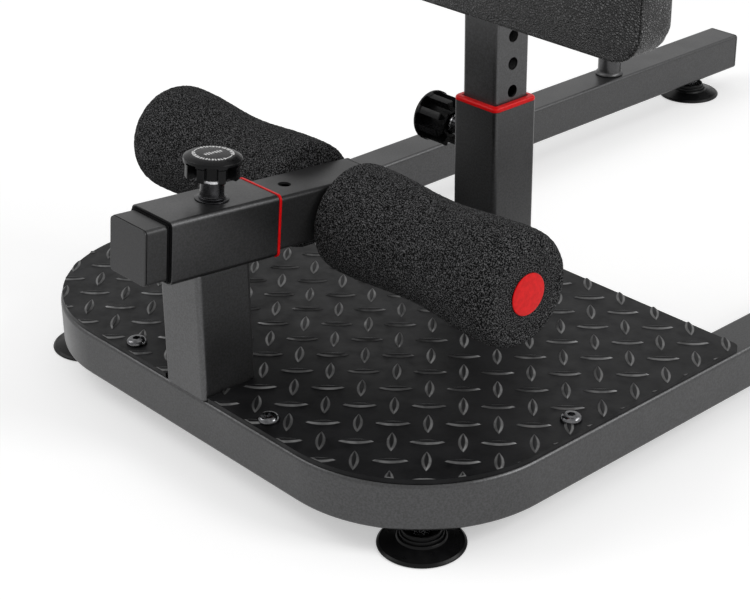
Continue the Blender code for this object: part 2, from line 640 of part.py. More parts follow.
for tag, spot, turn, parent, sizes, tip in (
        ("front", (0, FRONT_PIN_AT, SLEEVE / 2), (0, 0, 0), slope, FRONT_KNOB, INNER / 2 + GAP - SLEEVE / 2),
        ("rear", rear_pin_at, OTHER_SIDE, bench, REAR_KNOB, PAD_POST / 2 + GAP - REAR_SLEEVE / 2)):
    start, rim, phase = sizes
    add("%s_pin_barrel" % tag, barrel(start - 0.0012), BLACK_STEEL, spot, turn, parent)
    pin = add("%s_pin" % tag, lock_pin(tip, rim - 0.0053), BRIGHT_STEEL, spot, turn, parent)
    knob = add("%s_knob" % tag, knob_body(start, rim), KNOB, parent=pin, smooth=30)
    boolean(knob, add("%s_knob_flutes" % tag, flutes(start, rim, phase), KNOB, parent=pin))

# Levelling feet: a threaded stud with its hexagon, in a wide rubber-faced disc that swivels on it.
disc = [(0, 0.0055), (0.0054, 0.0055), (0.0054, 0.0148), (0.0132, 0.0148), (0.0136, 0.0122),
        (0.0170, 0.0116), (0.0184, 0.0088), (0.0345, 0.0030), (FOOT_RADIUS, 0.0022), (FOOT_RADIUS, 0.0008),
        (0.0342, 0), (0, 0)]
for tag, x, y in (("front_near", FRONT_FOOT[0], FRONT_FOOT[1]), ("front_far", -FRONT_FOOT[0], FRONT_FOOT[1]),
                  ("rear_near", REAR_FOOT[0], REAR_FOOT[1]), ("rear_far", -REAR_FOOT[0], REAR_FOOT[1])):
    round_shank = circle(0.0050, 12)
    nut = hexagon(0.017)
    stud = loft([level(round_shank, 0.0058), level(round_shank, 0.0162), level(nut, 0.0162), level(nut, 0.0226),
                 level(round_shank, 0.0226), level(round_shank, 0.052)])
    add("foot_stud_" + tag, stud, BRIGHT_STEEL, (x, y, 0), parent=bench, smooth=0)
    add("foot_disc_" + tag, turned(disc, 24), FOOT, (x, y, 0), parent=bench)

# Band pegs on the rails, hollow below their closed tops, each with a weld ring.
peg = [(0, PEG_HEIGHT), (0.0095, PEG_HEIGHT), (0.0122, PEG_HEIGHT - 0.0018), (PEG_RADIUS, PEG_HEIGHT - 0.0050),
       (PEG_RADIUS, 0.0040), (0.0146, 0.0030), (0.0154, 0.0016), (0.0154, GAP), (0.0108, GAP),
       (0.0108, PEG_HEIGHT - 0.003), (0, PEG_HEIGHT - 0.003)]
for side, tag in ((1, "near"), (-1, "far")):
    add("band_peg_" + tag, turned(peg, 18), PAINT, (side * RAIL_X, PEG_Y, RAIL_TOP), parent=bench)
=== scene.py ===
"""Sissy squat bench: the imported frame, dressed with its paint, tread plate, foam, leather and fittings."""
import math

import bmesh
import bpy
from mathutils import Matrix, Vector


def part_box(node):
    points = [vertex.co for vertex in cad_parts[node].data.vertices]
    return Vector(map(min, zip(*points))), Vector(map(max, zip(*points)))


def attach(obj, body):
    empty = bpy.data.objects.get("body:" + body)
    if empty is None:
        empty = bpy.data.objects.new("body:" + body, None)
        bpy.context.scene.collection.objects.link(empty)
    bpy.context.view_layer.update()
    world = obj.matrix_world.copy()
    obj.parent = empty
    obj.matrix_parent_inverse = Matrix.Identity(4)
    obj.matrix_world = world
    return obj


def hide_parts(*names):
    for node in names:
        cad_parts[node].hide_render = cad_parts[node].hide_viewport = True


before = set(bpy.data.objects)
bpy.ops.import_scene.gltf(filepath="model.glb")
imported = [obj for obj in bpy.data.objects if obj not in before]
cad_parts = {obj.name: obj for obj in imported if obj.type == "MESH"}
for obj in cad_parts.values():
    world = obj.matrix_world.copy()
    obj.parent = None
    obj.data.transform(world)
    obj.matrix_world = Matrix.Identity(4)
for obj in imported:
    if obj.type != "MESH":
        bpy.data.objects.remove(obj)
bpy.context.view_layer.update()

# Camera and studio
# The bench is seen from above its near front corner, on a plain white floor in a white room. Soft boxes light
# it from the left and the right, and a third lamp behind it shows only as a gleam along its edges. None of
# these belong to the bench.
azimuth = math.radians(47.875)
elevation = math.radians(27.194)
quarter_turn = math.pi / 2
roll = math.radians(-0.660)
camera_place = (1.07599, -1.24575, 0.818)
bench_middle = (0, -0.2, 0.1)
camera_data = bpy.data.cameras.new("camera")
camera_data.sensor_width = 36.0
camera_data.sensor_fit = "HORIZONTAL"
camera_data.lens = 90.034
camera_data.clip_end = 100.0
camera = bpy.data.objects.new("camera", camera_data)
bpy.context.scene.collection.objects.link(camera)
aim = Matrix.Rotation(azimuth, 4, "Z") @ Matrix.Rotation(quarter_turn - elevation, 4, "X")
camera.matrix_world = Matrix.Translation(camera_place) @ aim @ Matrix.Rotation(roll, 4, "Z")
bpy.context.scene.camera = camera
bpy.context.scene.view_settings.view_transform = "Standard"


def seen_directly(tree):
    """One for what the camera sees, straight or mirrored, and nought for light that falls on things."""
    path = tree.nodes.new("ShaderNodeLightPath")
    total = path.outputs["Is Camera Ray"]
    for name in ("Is Glossy Ray", "Is Transmission Ray"):
        adder = tree.nodes.new("ShaderNodeMath")
        adder.operation = "ADD"
        adder.use_clamp = True
        tree.links.new(total, adder.inputs[0])
        tree.links.new(path.outputs[name], adder.inputs[1])
        total = adder.outputs[0]
    return total


room = bpy.data.worlds.new("white_room")
bpy.context.scene.world = room
room.use_nodes = True
room_light = room.node_tree.nodes["Background"]
room_light.inputs["Color"].default_value = (1.0, 1.0, 1.0, 1.0)
room_light.inputs["Strength"].default_value = 0.52
room_wall = room.node_tree.nodes.new("ShaderNodeBackground")
room_wall.inputs["Color"].default_value = (1.0, 1.0, 1.0, 1.0)
room_wall.inputs["Strength"].default_value = 0.80
room_mix = room.node_tree.nodes.new("ShaderNodeMixShader")
room.node_tree.links.new(seen_directly(room.node_tree), room_mix.inputs[0])
room.node_tree.links.new(room_light.outputs[0], room_mix.inputs[1])
room.node_tree.links.new(room_wall.outputs[0], room_mix.inputs[2])
room.node_tree.links.new(room_mix.outputs[0], room.node_tree.nodes["World Output"].inputs["Surface"])

bpy.ops.object.select_all(action="DESELECT")
bpy.ops.mesh.primitive_circle_add(vertices=96, radius=9.0, fill_type="NGON", location=(0, 0, 0))
floor = bpy.context.object
floor.name = "floor"
floor_brightness = 0.43
floor_paint = bpy.data.materials.new("floor_paint")
floor_paint.use_nodes = True
floor_tree = floor_paint.node_tree
floor_tree.nodes.remove(floor_tree.nodes["Principled BSDF"])
floor_matt = floor_tree.nodes.new("ShaderNodeBsdfDiffuse")
floor_matt.inputs["Color"].default_value = (0.80, 0.80, 0.80, 1.0)
floor_glow = floor_tree.nodes.new("ShaderNodeEmission")
floor_glow.inputs["Color"].default_value = (1.0, 1.0, 1.0, 1.0)
floor_share = floor_tree.nodes.new("ShaderNodeMath")
floor_share.operation = "MULTIPLY"
floor_share.inputs[1].default_value = floor_brightness
floor_sum = floor_tree.nodes.new("ShaderNodeAddShader")
floor_tree.links.new(seen_directly(floor_tree), floor_share.inputs[0])
floor_tree.links.new(floor_share.outputs[0], floor_glow.inputs["Strength"])
floor_tree.links.new(floor_matt.outputs[0], floor_sum.inputs[0])
floor_tree.links.new(floor_glow.outputs[0], floor_sum.inputs[1])
floor_tree.links.new(floor_sum.outputs[0], floor_tree.nodes["Material Output"].inputs["Surface"])
floor.data.materials.append(floor_paint)


def soft_box(name, place, size, power):
    """A square soft box that hangs at a place and faces the middle of the bench."""
    lamp = bpy.data.lights.new(name, "AREA")
    lamp.shape = "SQUARE"
    lamp.size = size
    lamp.energy = power
    holder = bpy.data.objects.new(name, lamp)
    bpy.context.scene.collection.objects.link(holder)
    holder.location = place
    holder.rotation_euler = (Vector(bench_middle) - Vector(place)).to_track_quat("-Z", "Y").to_euler()
    return holder


soft_box("soft_box_left", (-1.7, -1.5, 2.1), 1.5, 17.0)
soft_box("soft_box_right", (1.9, 0.5, 1.7), 0.9, 18.0)
edge_light = soft_box("edge_light", (1.37, 1.59, 2.08), 1.3, 20.0)
edge_light.visible_diffuse = False

# Floor frame
# One square steel tube, bent twice on a former into a U that opens to the rear, and powder coated dark grey.
# The mill has rounded its long corners, and both cut ends stay open for their plugs.
low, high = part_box("base_tube")
rail = high.z - low.z
rail_x = high.x - rail / 2
rail_z = low.z + rail / 2
rail_end = high.y
bend_radius = 0.1095
bend_y = low.y + rail / 2 + bend_radius
bend_x = rail_x - bend_radius
wall = 0.002
corner = 0.0036


def surface(name, colour, roughness, metallic=0.0, specular=0.5):
    """A finish whose even values sit on its own shader."""
    look = bpy.data.materials.new(name)
    look.use_nodes = True
    shader = look.node_tree.nodes["Principled BSDF"]
    shader.inputs["Base Color"].default_value = (*colour, 1.0)
    shader.inputs["Roughness"].default_value = roughness
    shader.inputs["Metallic"].default_value = metallic
    shader.inputs["Specular IOR Level"].default_value = specular
    return look


def mottle(look, size, detail=2.0, stretch=(1, 1, 1)):
    """A cloudy pattern that is fixed to the piece, with patches of about a given size."""
    tree = look.node_tree
    place = tree.nodes.new("ShaderNodeTexCoord")
    fit = tree.nodes.new("ShaderNodeMapping")
    fit.inputs["Scale"].default_value = stretch
    cloud = tree.nodes.new("ShaderNodeTexNoise")
    cloud.inputs["Scale"].default_value = 1.0 / size
    cloud.inputs["Detail"].default_value = detail
    tree.links.new(place.outputs["Object"], fit.inputs["Vector"])
    tree.links.new(fit.outputs["Vector"], cloud.inputs["Vector"])
    return cloud.outputs["Fac"]


def tint(look, pattern, dark, light, start=0.35, stop=0.65):
    """Let a pattern carry the colour from a dark tone to a light one."""
    tree = look.node_tree
    ramp = tree.nodes.new("ShaderNodeValToRGB")
    ramp.color_ramp.elements[0].position = start
    ramp.color_ramp.elements[0].color = (*dark, 1.0)
    ramp.color_ramp.elements[1].position = stop
    ramp.color_ramp.elements[1].color = (*light, 1.0)
    tree.links.new(pattern, ramp.inputs["Fac"])
    tree.links.new(ramp.outputs["Color"], tree.nodes["Principled BSDF"].inputs["Base Color"])


def polish(look, pattern, smooth, rough, start=0.3, stop=0.7):
    """Let a pattern carry the roughness between two values."""
    tree = look.node_tree
    scale = tree.nodes.new("ShaderNodeMapRange")
    scale.inputs["From Min"].default_value = start
    scale.inputs["From Max"].default_value = stop
    scale.inputs["To Min"].default_value = smooth
    scale.inputs["To Max"].default_value = rough
    tree.links.new(pattern, scale.inputs["Value"])
    tree.links.new(scale.outputs["Result"], tree.nodes["Principled BSDF"].inputs["Roughness"])


def relief(look, pattern, height, strength=1.0):
    """Let a pattern raise and sink the surface by up to a given height."""
    tree = look.node_tree
    normal = tree.nodes["Principled BSDF"].inputs["Normal"]
    bump = tree.nodes.new("ShaderNodeBump")
    bump.inputs["Distance"].default_value = height
    bump.inputs["Strength"].default_value = strength
    tree.links.new(pattern, bump.inputs["Height"])
    if normal.is_linked:
        tree.links.new(normal.links[0].from_socket, bump.inputs["Normal"])
    tree.links.new(bump.outputs["Normal"], normal)


def powder_coat(name, tone, roughness, metallic=0.86):
    """Grey powder coat: a fine orange peel, a faint metal fleck and slow changes of tone."""
    look = surface(name, (tone, tone, tone * 1.02), roughness, metallic, 0.3)
    fleck = mottle(look, 0.0016, 1.0)
    tint(look, fleck, (tone * 0.86,) * 3, (tone * 1.16, tone * 1.16, tone * 1.19), 0.3, 0.7)
    polish(look, mottle(look, 0.045, 3.0), roughness - 0.05, roughness + 0.05)
    relief(look, mottle(look, 0.0022, 2.0), 0.00006, 0.35)
    return look


grey_coat = powder_coat("grey_coat", 0.078, 0.36)


def pick(piece, test, kind="faces"):
    """In edit mode, select only those faces, edges or verts that pass a test."""
    bpy.ops.mesh.select_mode(type={"faces": "FACE", "edges": "EDGE", "verts": "VERT"}[kind])
    bpy.ops.mesh.select_all(action="DESELECT")
    shape = bmesh.from_edit_mesh(piece.data)
    for item in getattr(shape, kind):
        item.select_set(test(item))
    shape.select_flush_mode()
    bmesh.update_edit_mesh(piece.data)


def flat(place, size, turn=(0, 0, 0)):
    """A plain rectangle, to be shaped."""
    bpy.ops.object.select_all(action="DESELECT")
    bpy.ops.mesh.primitive_plane_add(size=1, location=place, rotation=turn)
    bpy.context.object.scale = (*size, 1)
    return bpy.context.object


def start_editing(name, in_place=False):
    """Name the primitive that was just added, bake its scale, or its whole place, and open it for editing."""
    piece = bpy.context.object
    piece.name = name
    bpy.ops.object.transform_apply(location=in_place, rotation=in_place, scale=True)
    bpy.ops.object.mode_set(mode="EDIT")
    return piece


def round_corners(radius, segments):
    """Round the corners of the flat face that is open for editing, and leave it selected all over."""
    bpy.ops.mesh.select_all(action="SELECT")
    bpy.ops.mesh.bevel(offset=radius, segments=segments, affect="VERTICES")
    bpy.ops.mesh.select_all(action="SELECT")


def finish_editing():
    """Turn all faces outwards and close the piece."""
    bpy.ops.mesh.select_all(action="SELECT")
    bpy.ops.mesh.normals_make_consistent(inside=False)
    bpy.ops.object.mode_set(mode="OBJECT")


def bake_place(piece):
    """Bake a piece's place, turn and scale into its mesh."""
    bpy.ops.object.select_all(action="DESELECT")
    piece.select_set(True)
    bpy.context.view_layer.objects.active = piece
    bpy.ops.object.transform_apply(location=True, rotation=True, scale=True)


def apply_modifiers(piece):
    """Bake every modifier of a piece, in order."""
    bpy.context.view_layer.objects.active = piece
    for step in list(piece.modifiers):
        bpy.ops.object.modifier_apply(modifier=step.name)


def hand_over(piece, look, body, slot, *stands_for, angle=35):
    """Bake a piece's place into its mesh, smooth it, coat it and fix it to the body that it moves with."""
    bake_place(piece)
    bpy.ops.object.shade_smooth_by_angle(angle=math.radians(angle))
    piece.modifiers.new("even_faces", "WEIGHTED_NORMAL").keep_sharp = True
    apply_modifiers(piece)
    piece.data.materials.clear()
    piece.data.materials.append(look)
    if stands_for:
        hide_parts(*stands_for)
    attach(piece, body)


flat((rail_x, rail_end, rail_z), (rail, rail), (quarter_turn, 0, 0))
bent_tube = start_editing("bent_frame_tube", in_place=True)
round_corners(corner, 5)
bpy.ops.mesh.delete(type="ONLY_FACE")
bpy.ops.mesh.select_mode(type="EDGE")
bpy.ops.mesh.select_all(action="SELECT")
bpy.ops.mesh.extrude_region_move(TRANSFORM_OT_translate={"value": (0, bend_y - rail_end, 0)})
bpy.ops.mesh.spin(steps=28, angle=quarter_turn, center=(bend_x, bend_y, rail_z), axis=(0, 0, 1))
bpy.ops.mesh.extrude_region_move(TRANSFORM_OT_translate={"value": (-2 * bend_x, 0, 0)})
bpy.ops.mesh.spin(steps=28, angle=quarter_turn, center=(-bend_x, bend_y, rail_z), axis=(0, 0, 1))
bpy.ops.mesh.extrude_region_move(TRANSFORM_OT_translate={"value": (0, rail_end - bend_y, 0)})
bpy.ops.mesh.select_all(action="SELECT")
bpy.ops.mesh.remove_doubles(threshold=0.00001)
finish_editing()
skin = bent_tube.modifiers.new("tube_wall", "SOLIDIFY")
skin.thickness = wall
skin.offset = -1.0
skin.use_even_offset = True
hand_over(bent_tube, grey_coat, "base", "powder_coat", "base_tube")

# Rear crossbar and its welds
# The same square tube, sawn to fit between the rails under the plate's rear edge and welded at both ends.
# The beads are laid by hand, so they ripple, and they are coated with the frame.


def block(place, size, turn=(0, 0, 0)):
    """A plain block, to be shaped or to cut with."""
    bpy.ops.object.select_all(action="DESELECT")
    bpy.ops.mesh.primitive_cube_add(size=1, location=place, rotation=turn, scale=size)
    return bpy.context.object


def round_edges(piece, axis, radius, segments):
    """Round those edges of a block or rod that run along one of its own axes, 0 for X to 2 for Z."""
    pick(piece, lambda e: abs(e.verts[0].co[axis] - e.verts[1].co[axis]) > 0.0005, "edges")
    bpy.ops.mesh.bevel(offset=radius, segments=segments, affect="EDGES")


def square_tube(name, middle, size, length, thickness, rounding, turn=(0, 0, 0)):
    """A straight box tube along its own Z: long corners rounded, end faces inset and bridged by the bore."""
    block(middle, (*size, length), turn)
    tube = start_editing(name)
    round_edges(tube, 2, rounding, 5)
    pick(tube, lambda f: abs(f.normal.z) > 0.9)
    bpy.ops.mesh.inset(thickness=thickness, depth=0)
    bpy.ops.mesh.bridge_edge_loops()
    pick(tube, lambda e: all(abs(abs(v.co.z) - length / 2) < 1e-5 for v in e.verts)
         and e.calc_face_angle(0) > 1.0, "edges")
    bpy.ops.mesh.bevel(offset=0.0003, segments=2, affect="EDGES")
    bpy.ops.object.mode_set(mode="OBJECT")
    return tube


def draw_up(outline):
    """Draw the selection up Z, resized about the axis at each step. A step is a size and a height."""
    for (size, height), (next_size, next_height) in zip(outline, outline[1:]):
        bpy.ops.mesh.extrude_region_move(TRANSFORM_OT_translate={"value": (0, 0, next_height - height)})
        ratio = next_size / size
        bpy.ops.transform.resize(value=(ratio, ratio, 1), center_override=(0, 0, next_height))


def draw_circle(name, outline, sides, filled):
    """A disc, or only its line, drawn up from step to step of its outline and left open for editing."""
    radius, height = outline[0]
    bpy.ops.object.select_all(action="DESELECT")
    bpy.ops.mesh.primitive_circle_add(vertices=sides, radius=radius, location=(0, 0, height),
                                      fill_type="NGON" if filled else "NOTHING")
    piece = start_editing(name, in_place=True)
    bpy.ops.mesh.select_mode(type="FACE" if filled else "EDGE")
    bpy.ops.mesh.select_all(action="SELECT")
    draw_up(outline)
    return piece


def bridge_open_ends():
    """Close the gap between the two open edges of a ring."""
    bpy.ops.mesh.select_mode(type="EDGE")
    bpy.ops.mesh.select_all(action="DESELECT")
    bpy.ops.mesh.select_non_manifold()
    bpy.ops.mesh.bridge_edge_loops()


def turned(name, outline, sides, bored=False):
    """A body turned about Z from its outline. A bored one is a ring, whose outline ends where it began."""
    piece = draw_circle(name, outline, sides, not bored)
    if bored:
        bridge_open_ends()
    finish_editing()
    return piece


def arc(middle, radius, start, stop, steps):
    """Points of an outline round a quarter or less of a circle, angles in degrees from the outward side."""
    points = []
    for i in range(steps + 1):
        angle = math.radians(start + (stop - start) * i / steps)
        points.append((middle[0] + radius * math.cos(angle), middle[1] + radius * math.sin(angle)))
    return points


def weld_bead(name, start, end, radius, body):
    """A run of weld metal, rippled along its length and half sunk in the corner that it fills."""
    run = Vector(end) - Vector(start)
    ripples = round(run.length / 0.0026)
    pitch = run.length / ripples
    outline = [(radius * 0.55, 0)]
    for i in range(ripples):
        outline += [(radius, pitch * (i + 0.35)), (radius * 0.82, pitch * (i + 0.8))]
    outline.append((radius * 0.5, run.length))
    weld = turned(name, outline, 10)
    weld.location = start
    weld.rotation_euler = run.to_track_quat("Z", "Y").to_euler()
    hand_over(weld, grey_coat, body, "powder_coat", angle=60)


low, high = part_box("rear_crossbar")
bar_middle = (low + high) / 2
cross_tube = square_tube("cross_tube", bar_middle, (rail, rail), high.x - low.x, wall, corner,
                         (0, quarter_turn, 0))
hand_over(cross_tube, grey_coat, "base", "powder_coat", "rear_crossbar")
bead_radius = 0.0022
both_sides = ((1, "near"), (-1, "far"))
for side, tag in both_sides:
    seam_x = side * (rail_x - rail / 2)
    weld_bead("weld_cross_rear_" + tag, (seam_x, high.y, low.z + corner), (seam_x, high.y, high.z - corner),
              bead_radius, "base")
    weld_bead("weld_cross_under_" + tag, (seam_x, low.y + corner, low.z), (seam_x, high.y - corner, low.z),
              bead_radius, "base")

# Rail plugs
# Moulded plugs, pushed into the open ends of both rails. Each has a softly rounded face, the same grey as
# the coat, and a ribbed body inside the tube that keeps it in.
plug_grey = surface("plug_grey", (0.060, 0.060, 0.062), 0.44, 0.45, 0.3)
tint(plug_grey, mottle(plug_grey, 0.0012, 2.0), (0.038, 0.038, 0.039), (0.050, 0.050, 0.051))
relief(plug_grey, mottle(plug_grey, 0.0009, 2.0), 0.00005, 0.5)


def tube_plug(name, face, turn, size, depth, flange=0.0030, soft=0.0011):
    """A square plug: its face looks along its own Z from the given point, its ribs are inside the tube."""
    clearance = 0.0008
    waist = 0.965
    block((0, 0, -flange / 2), (size, size, flange))
    plug = start_editing(name, in_place=True)
    round_edges(plug, 2, corner, 5)
    pick(plug, lambda e: all(v.co.z > -0.0001 for v in e.verts), "edges")
    bpy.ops.mesh.bevel(offset=soft, segments=3, affect="EDGES")
    pick(plug, lambda f: f.normal.z < -0.9)
    bpy.ops.mesh.inset(thickness=wall + clearance / 2, depth=0)
    ribs = [(waist if k % 2 else 1, -flange - depth * k / 8) for k in range(9)]
    draw_up(ribs)
    bpy.ops.object.mode_set(mode="OBJECT")
    plug.location = face
    plug.rotation_euler = turn
    return plug


for side, tag in both_sides:
    face = (side * rail_x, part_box("rail_cap_" + tag)[1].y, rail_z)
    plug = tube_plug("rail_plug_" + tag, face, (-quarter_turn, 0, 0), rail, 0.016)
    hand_over(plug, plug_grey, "base", "black_plastic", "rail_cap_" + tag)

# Tread plate
# Sheet steel rolled with two crossed families of raised lenses, cut to the bent frame's outline, notched for
# both uprights and painted satin black. Lenses that the shears met are cut through at the edge.
low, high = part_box("tread_plate")
plate_low = low.z
plate_top = 0.068
plate_half = high.x
plate_front = low.y
plate_rear = high.y
front_radius = 0.128
rear_radius = 0.009
lens_length = 0.0285
lens_width = 0.0082
lens_height = 0.0015
lens_pitch = (0.0384, 0.0386)
lens_columns = 17
lens_rows = 12
first_lens = (0.1000 - 10 * lens_pitch[0], -0.4558 - lens_pitch[1])
plate_screws = ((0.087, -0.4644), (-0.087, -0.4644), (0.248, -0.293), (-0.248, -0.293))
screw_hole = 0.0052

black_satin = surface("black_satin", (0.012, 0.012, 0.013), 0.42, 0.0, 0.13)
scuffs = mottle(black_satin, 0.035, 5.0)
tint(black_satin, scuffs, (0.003, 0.003, 0.0035), (0.012, 0.012, 0.013), 0.35, 0.7)
polish(black_satin, mottle(black_satin, 0.012, 4.0), 0.30, 0.50)
relief(black_satin, mottle(black_satin, 0.0030, 3.0), 0.00010, 0.5)


def paint_flank_highlight(look, bottom, top, bright, patch_pattern):
    """Paint a highlight on the lens flanks between two heights: a band of bright metal colour, broken into
    patches by a pattern.
    """
    tree = look.node_tree
    place = tree.nodes.new("ShaderNodeTexCoord")
    split = tree.nodes.new("ShaderNodeSeparateXYZ")
    band = tree.nodes.new("ShaderNodeValToRGB")
    height = tree.nodes.new("ShaderNodeMapRange")
    height.inputs["From Min"].default_value = bottom
    height.inputs["From Max"].default_value = top
    tree.links.new(place.outputs["Object"], split.inputs[0])
    tree.links.new(split.outputs["Z"], height.inputs["Value"])
    tree.links.new(height.outputs["Result"], band.inputs["Fac"])
    band.color_ramp.elements[0].position = 0.0
    band.color_ramp.elements[0].color = (0.0, 0.0, 0.0, 1.0)
    band.color_ramp.elements[1].position = 1.0
    band.color_ramp.elements[1].color = (0.0, 0.0, 0.0, 1.0)
    for spot in (0.2, 0.8):
        band.color_ramp.elements.new(spot).color = (1.0, 1.0, 1.0, 1.0)
    patchy = tree.nodes.new("ShaderNodeMath")
    patchy.operation = "MULTIPLY"
    tree.links.new(band.outputs["Color"], patchy.inputs[0])
    tree.links.new(patch_pattern, patchy.inputs[1])
    shader = tree.nodes["Principled BSDF"]
    blend = tree.nodes.new("ShaderNodeMixRGB")
    blend.inputs["Color2"].default_value = (bright, bright, bright, 1.0)
    tree.links.new(shader.inputs["Base Color"].links[0].from_socket, blend.inputs["Color1"])
    tree.links.new(patchy.outputs[0], blend.inputs["Fac"])
    tree.links.new(blend.outputs["Color"], shader.inputs["Base Color"])
    tree.links.new(patchy.outputs[0], shader.inputs["Metallic"])


# Painted highlight: the lens flanks get a bright metallic band, in patches, so that they shine.
highlight_patches = mottle(black_satin, 0.010, 3.0)
soften = black_satin.node_tree.nodes.new("ShaderNodeMapRange")
soften.inputs["From Min"].default_value = 0.25
soften.inputs["From Max"].default_value = 0.60
soften.inputs["To Min"].default_value = 0.35
black_satin.node_tree.links.new(highlight_patches, soften.inputs["Value"])
paint_flank_highlight(black_satin, plate_top + 0.00006, plate_top + 0.00132, 0.16, soften.outputs["Result"])


def combine(piece, tool, operation):
    """Cut, keep or join a piece with a tool, which is then thrown away."""
    step = piece.modifiers.new("combine", "BOOLEAN")
    step.object = tool
    step.operation = operation
    step.solver = "EXACT"
    apply_modifiers(piece)
    bpy.data.objects.remove(tool)


def notch(piece, node, rear):
    """Cut the plate back round an upright, from the plate's edge inwards."""
    low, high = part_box(node)
    gap = 0.0003
    middle_y = plate_rear if rear else plate_front
    depth = 2 * (plate_rear - low.y + gap if rear else high.y - plate_front + gap)
    cutter = block((0, middle_y, plate_top), (high.x - low.x + 2 * gap, depth, 0.04))
    combine(piece, cutter, "DIFFERENCE")


def plate_blank(name, bottom, thickness, inset):
    """The plate's outline as a plain slab: two wide corners at the front, two tight ones at the rear."""
    depth = plate_rear - plate_front - 2 * inset
    flat((0, (plate_front + plate_rear) / 2, bottom), (2 * (plate_half - inset), depth))
    slab = start_editing(name)
    pick(slab, lambda v: v.co.y < 0, "verts")
    bpy.ops.mesh.bevel(offset=front_radius - inset, segments=32, affect="VERTICES")
    pick(slab, lambda v: v.co.y > depth / 2 - 0.0001, "verts")
    bpy.ops.mesh.bevel(offset=rear_radius - inset, segments=8, affect="VERTICES")
    bpy.ops.mesh.select_all(action="SELECT")
    bpy.ops.mesh.extrude_region_move(TRANSFORM_OT_translate={"value": (0, 0, thickness)})
    finish_editing()
    bake_place(slab)
    notch(slab, "front_post", False)
    notch(slab, "rear_sleeve", True)
    return slab


def rod(sides, radius, length, place, turn=(0, 0, 0)):
    """A plain rod, round or faceted, to be shaped or to cut with."""
    bpy.ops.object.select_all(action="DESELECT")
    bpy.ops.mesh.primitive_cylinder_add(vertices=sides, radius=radius, depth=length, location=place,
                                        rotation=turn)
    return bpy.context.object


def repeat(piece, step, count):
    """Repeat a piece in a straight row."""
    row = piece.modifiers.new("row", "ARRAY")
    row.use_relative_offset = False
    row.use_constant_offset = True
    row.constant_offset_displace = step
    row.count = count


def lens_field(name, start, turn):
    """A pointed lens, where two discs overlap, stepped up to its crest and repeated over the whole plate."""
    root = 0.0004
    disc_radius = (lens_length ** 2 + lens_width ** 2) / (4 * lens_width)
    offset = disc_radius - lens_width / 2
    lens = rod(40, disc_radius, 2 * root, (0, offset, -root))
    combine(lens, rod(40, disc_radius, 10 * root, (0, -offset, -root)), "INTERSECT")
    lens.name = name
    bake_place(lens)
    bpy.ops.object.mode_set(mode="EDIT")
    pick(lens, lambda f: f.normal.z > 0.9)
    for rise, lengthwise, widthwise in ((0.66, 0.84, 0.54), (0.24, 0.90, 0.66), (0.10, 0.84, 0.50)):
        bpy.ops.mesh.extrude_region_move(TRANSFORM_OT_translate={"value": (0, 0, rise * lens_height)})
        bpy.ops.transform.resize(value=(lengthwise, widthwise, 1), center_override=(0, 0, 0))
    bpy.ops.object.mode_set(mode="OBJECT")
    lens.rotation_euler = (0, 0, turn)
    lens.location = (*start, plate_top)
    bake_place(lens)
    repeat(lens, (lens_pitch[0], 0, 0), lens_columns)
    repeat(lens, (0, lens_pitch[1], 0), lens_rows)
    apply_modifiers(lens)
    return lens


tread = plate_blank("checker_plate", plate_low, plate_top - plate_low, 0.0)
between = (first_lens[0] - lens_pitch[0] / 2, first_lens[1] + lens_pitch[1] / 2)
for family, start, turn in ((0, first_lens, math.radians(135)), (1, between, math.radians(45))):
    lenses = lens_field("lenses_%d" % family, start, turn)
    combine(lenses, plate_blank("shear_line", plate_low + 0.001, 0.01, 0.0004), "INTERSECT")
    combine(tread, lenses, "UNION")
for x, y in plate_screws:
    combine(tread, rod(24, screw_hole, 0.02, (x, y, plate_top)), "DIFFERENCE")
hand_over(tread, black_satin, "base", "tread_paint", "tread_plate", angle=28)

# Plate screws
# Black steel button heads with a hexagon socket, one at each side of the front post and one by each rail.
# They hold the plate down on the frame tube.
black_steel = surface("black_steel", (0.030, 0.030, 0.032), 0.24, 0.85)
polish(black_steel, mottle(black_steel, 0.0015, 3.0), 0.18, 0.34)
tint(black_steel, mottle(black_steel, 0.004, 3.0), (0.022, 0.022, 0.024), (0.045, 0.045, 0.048))
screw_steel = surface("screw_steel", (0.13, 0.13, 0.135), 0.16, 1.0)
tint(screw_steel, mottle(screw_steel, 0.003, 3.0), (0.09, 0.09, 0.095), (0.17, 0.17, 0.175))
polish(screw_steel, mottle(screw_steel, 0.0015, 3.0), 0.10, 0.22)
screw_outline = [(0.0042, -0.0140), (0.0047, -0.0134), (0.0047, 0.0003), (0.0084, 0.0003)]
screw_outline += arc((0.0048, 0.0006), 0.0040, 0, 80, 8) + [(0.0040, 0.0047), (0.0020, 0.0048)]
socket_radius = 0.0059 / 2 / math.cos(math.radians(30))
socket_floor = 0.0022
socket_top = 0.0060
for number, (x, y) in enumerate(plate_screws, 1):
    screw = turned("plate_screw_%d" % number, screw_outline, 40)
    socket = rod(6, socket_radius, socket_top - socket_floor, (0, 0, (socket_top + socket_floor) / 2))
    combine(screw, socket, "DIFFERENCE")
    screw.location = (x, y, plate_top)
    hand_over(screw, screw_steel, "base", "black_oxide_steel", "plate_bolt_%d" % number, angle=30)

# Levelling feet
# A black moulded disc swivels on a plated stud, which screws into the frame from below. The stud's nut shows
# as a bright hexagon, and stands in the shallow cup of the disc's stepped hub.
foot_black = surface("foot_black", (0.0035, 0.0035, 0.0038), 0.34, 0.0, 0.16)
polish(foot_black, mottle(foot_black, 0.006, 3.0), 0.26, 0.42)
relief(foot_black, mottle(foot_black, 0.0008, 2.0), 0.00004, 0.5)
bright_steel = surface("bright_steel", (0.60, 0.60, 0.62), 0.24, 1.0)
tint(bright_steel, mottle(bright_steel, 0.003, 3.0), (0.50, 0.50, 0.52), (0.68, 0.68, 0.69))
polish(bright_steel, mottle(bright_steel, 0.0012, 3.0), 0.18, 0.32)


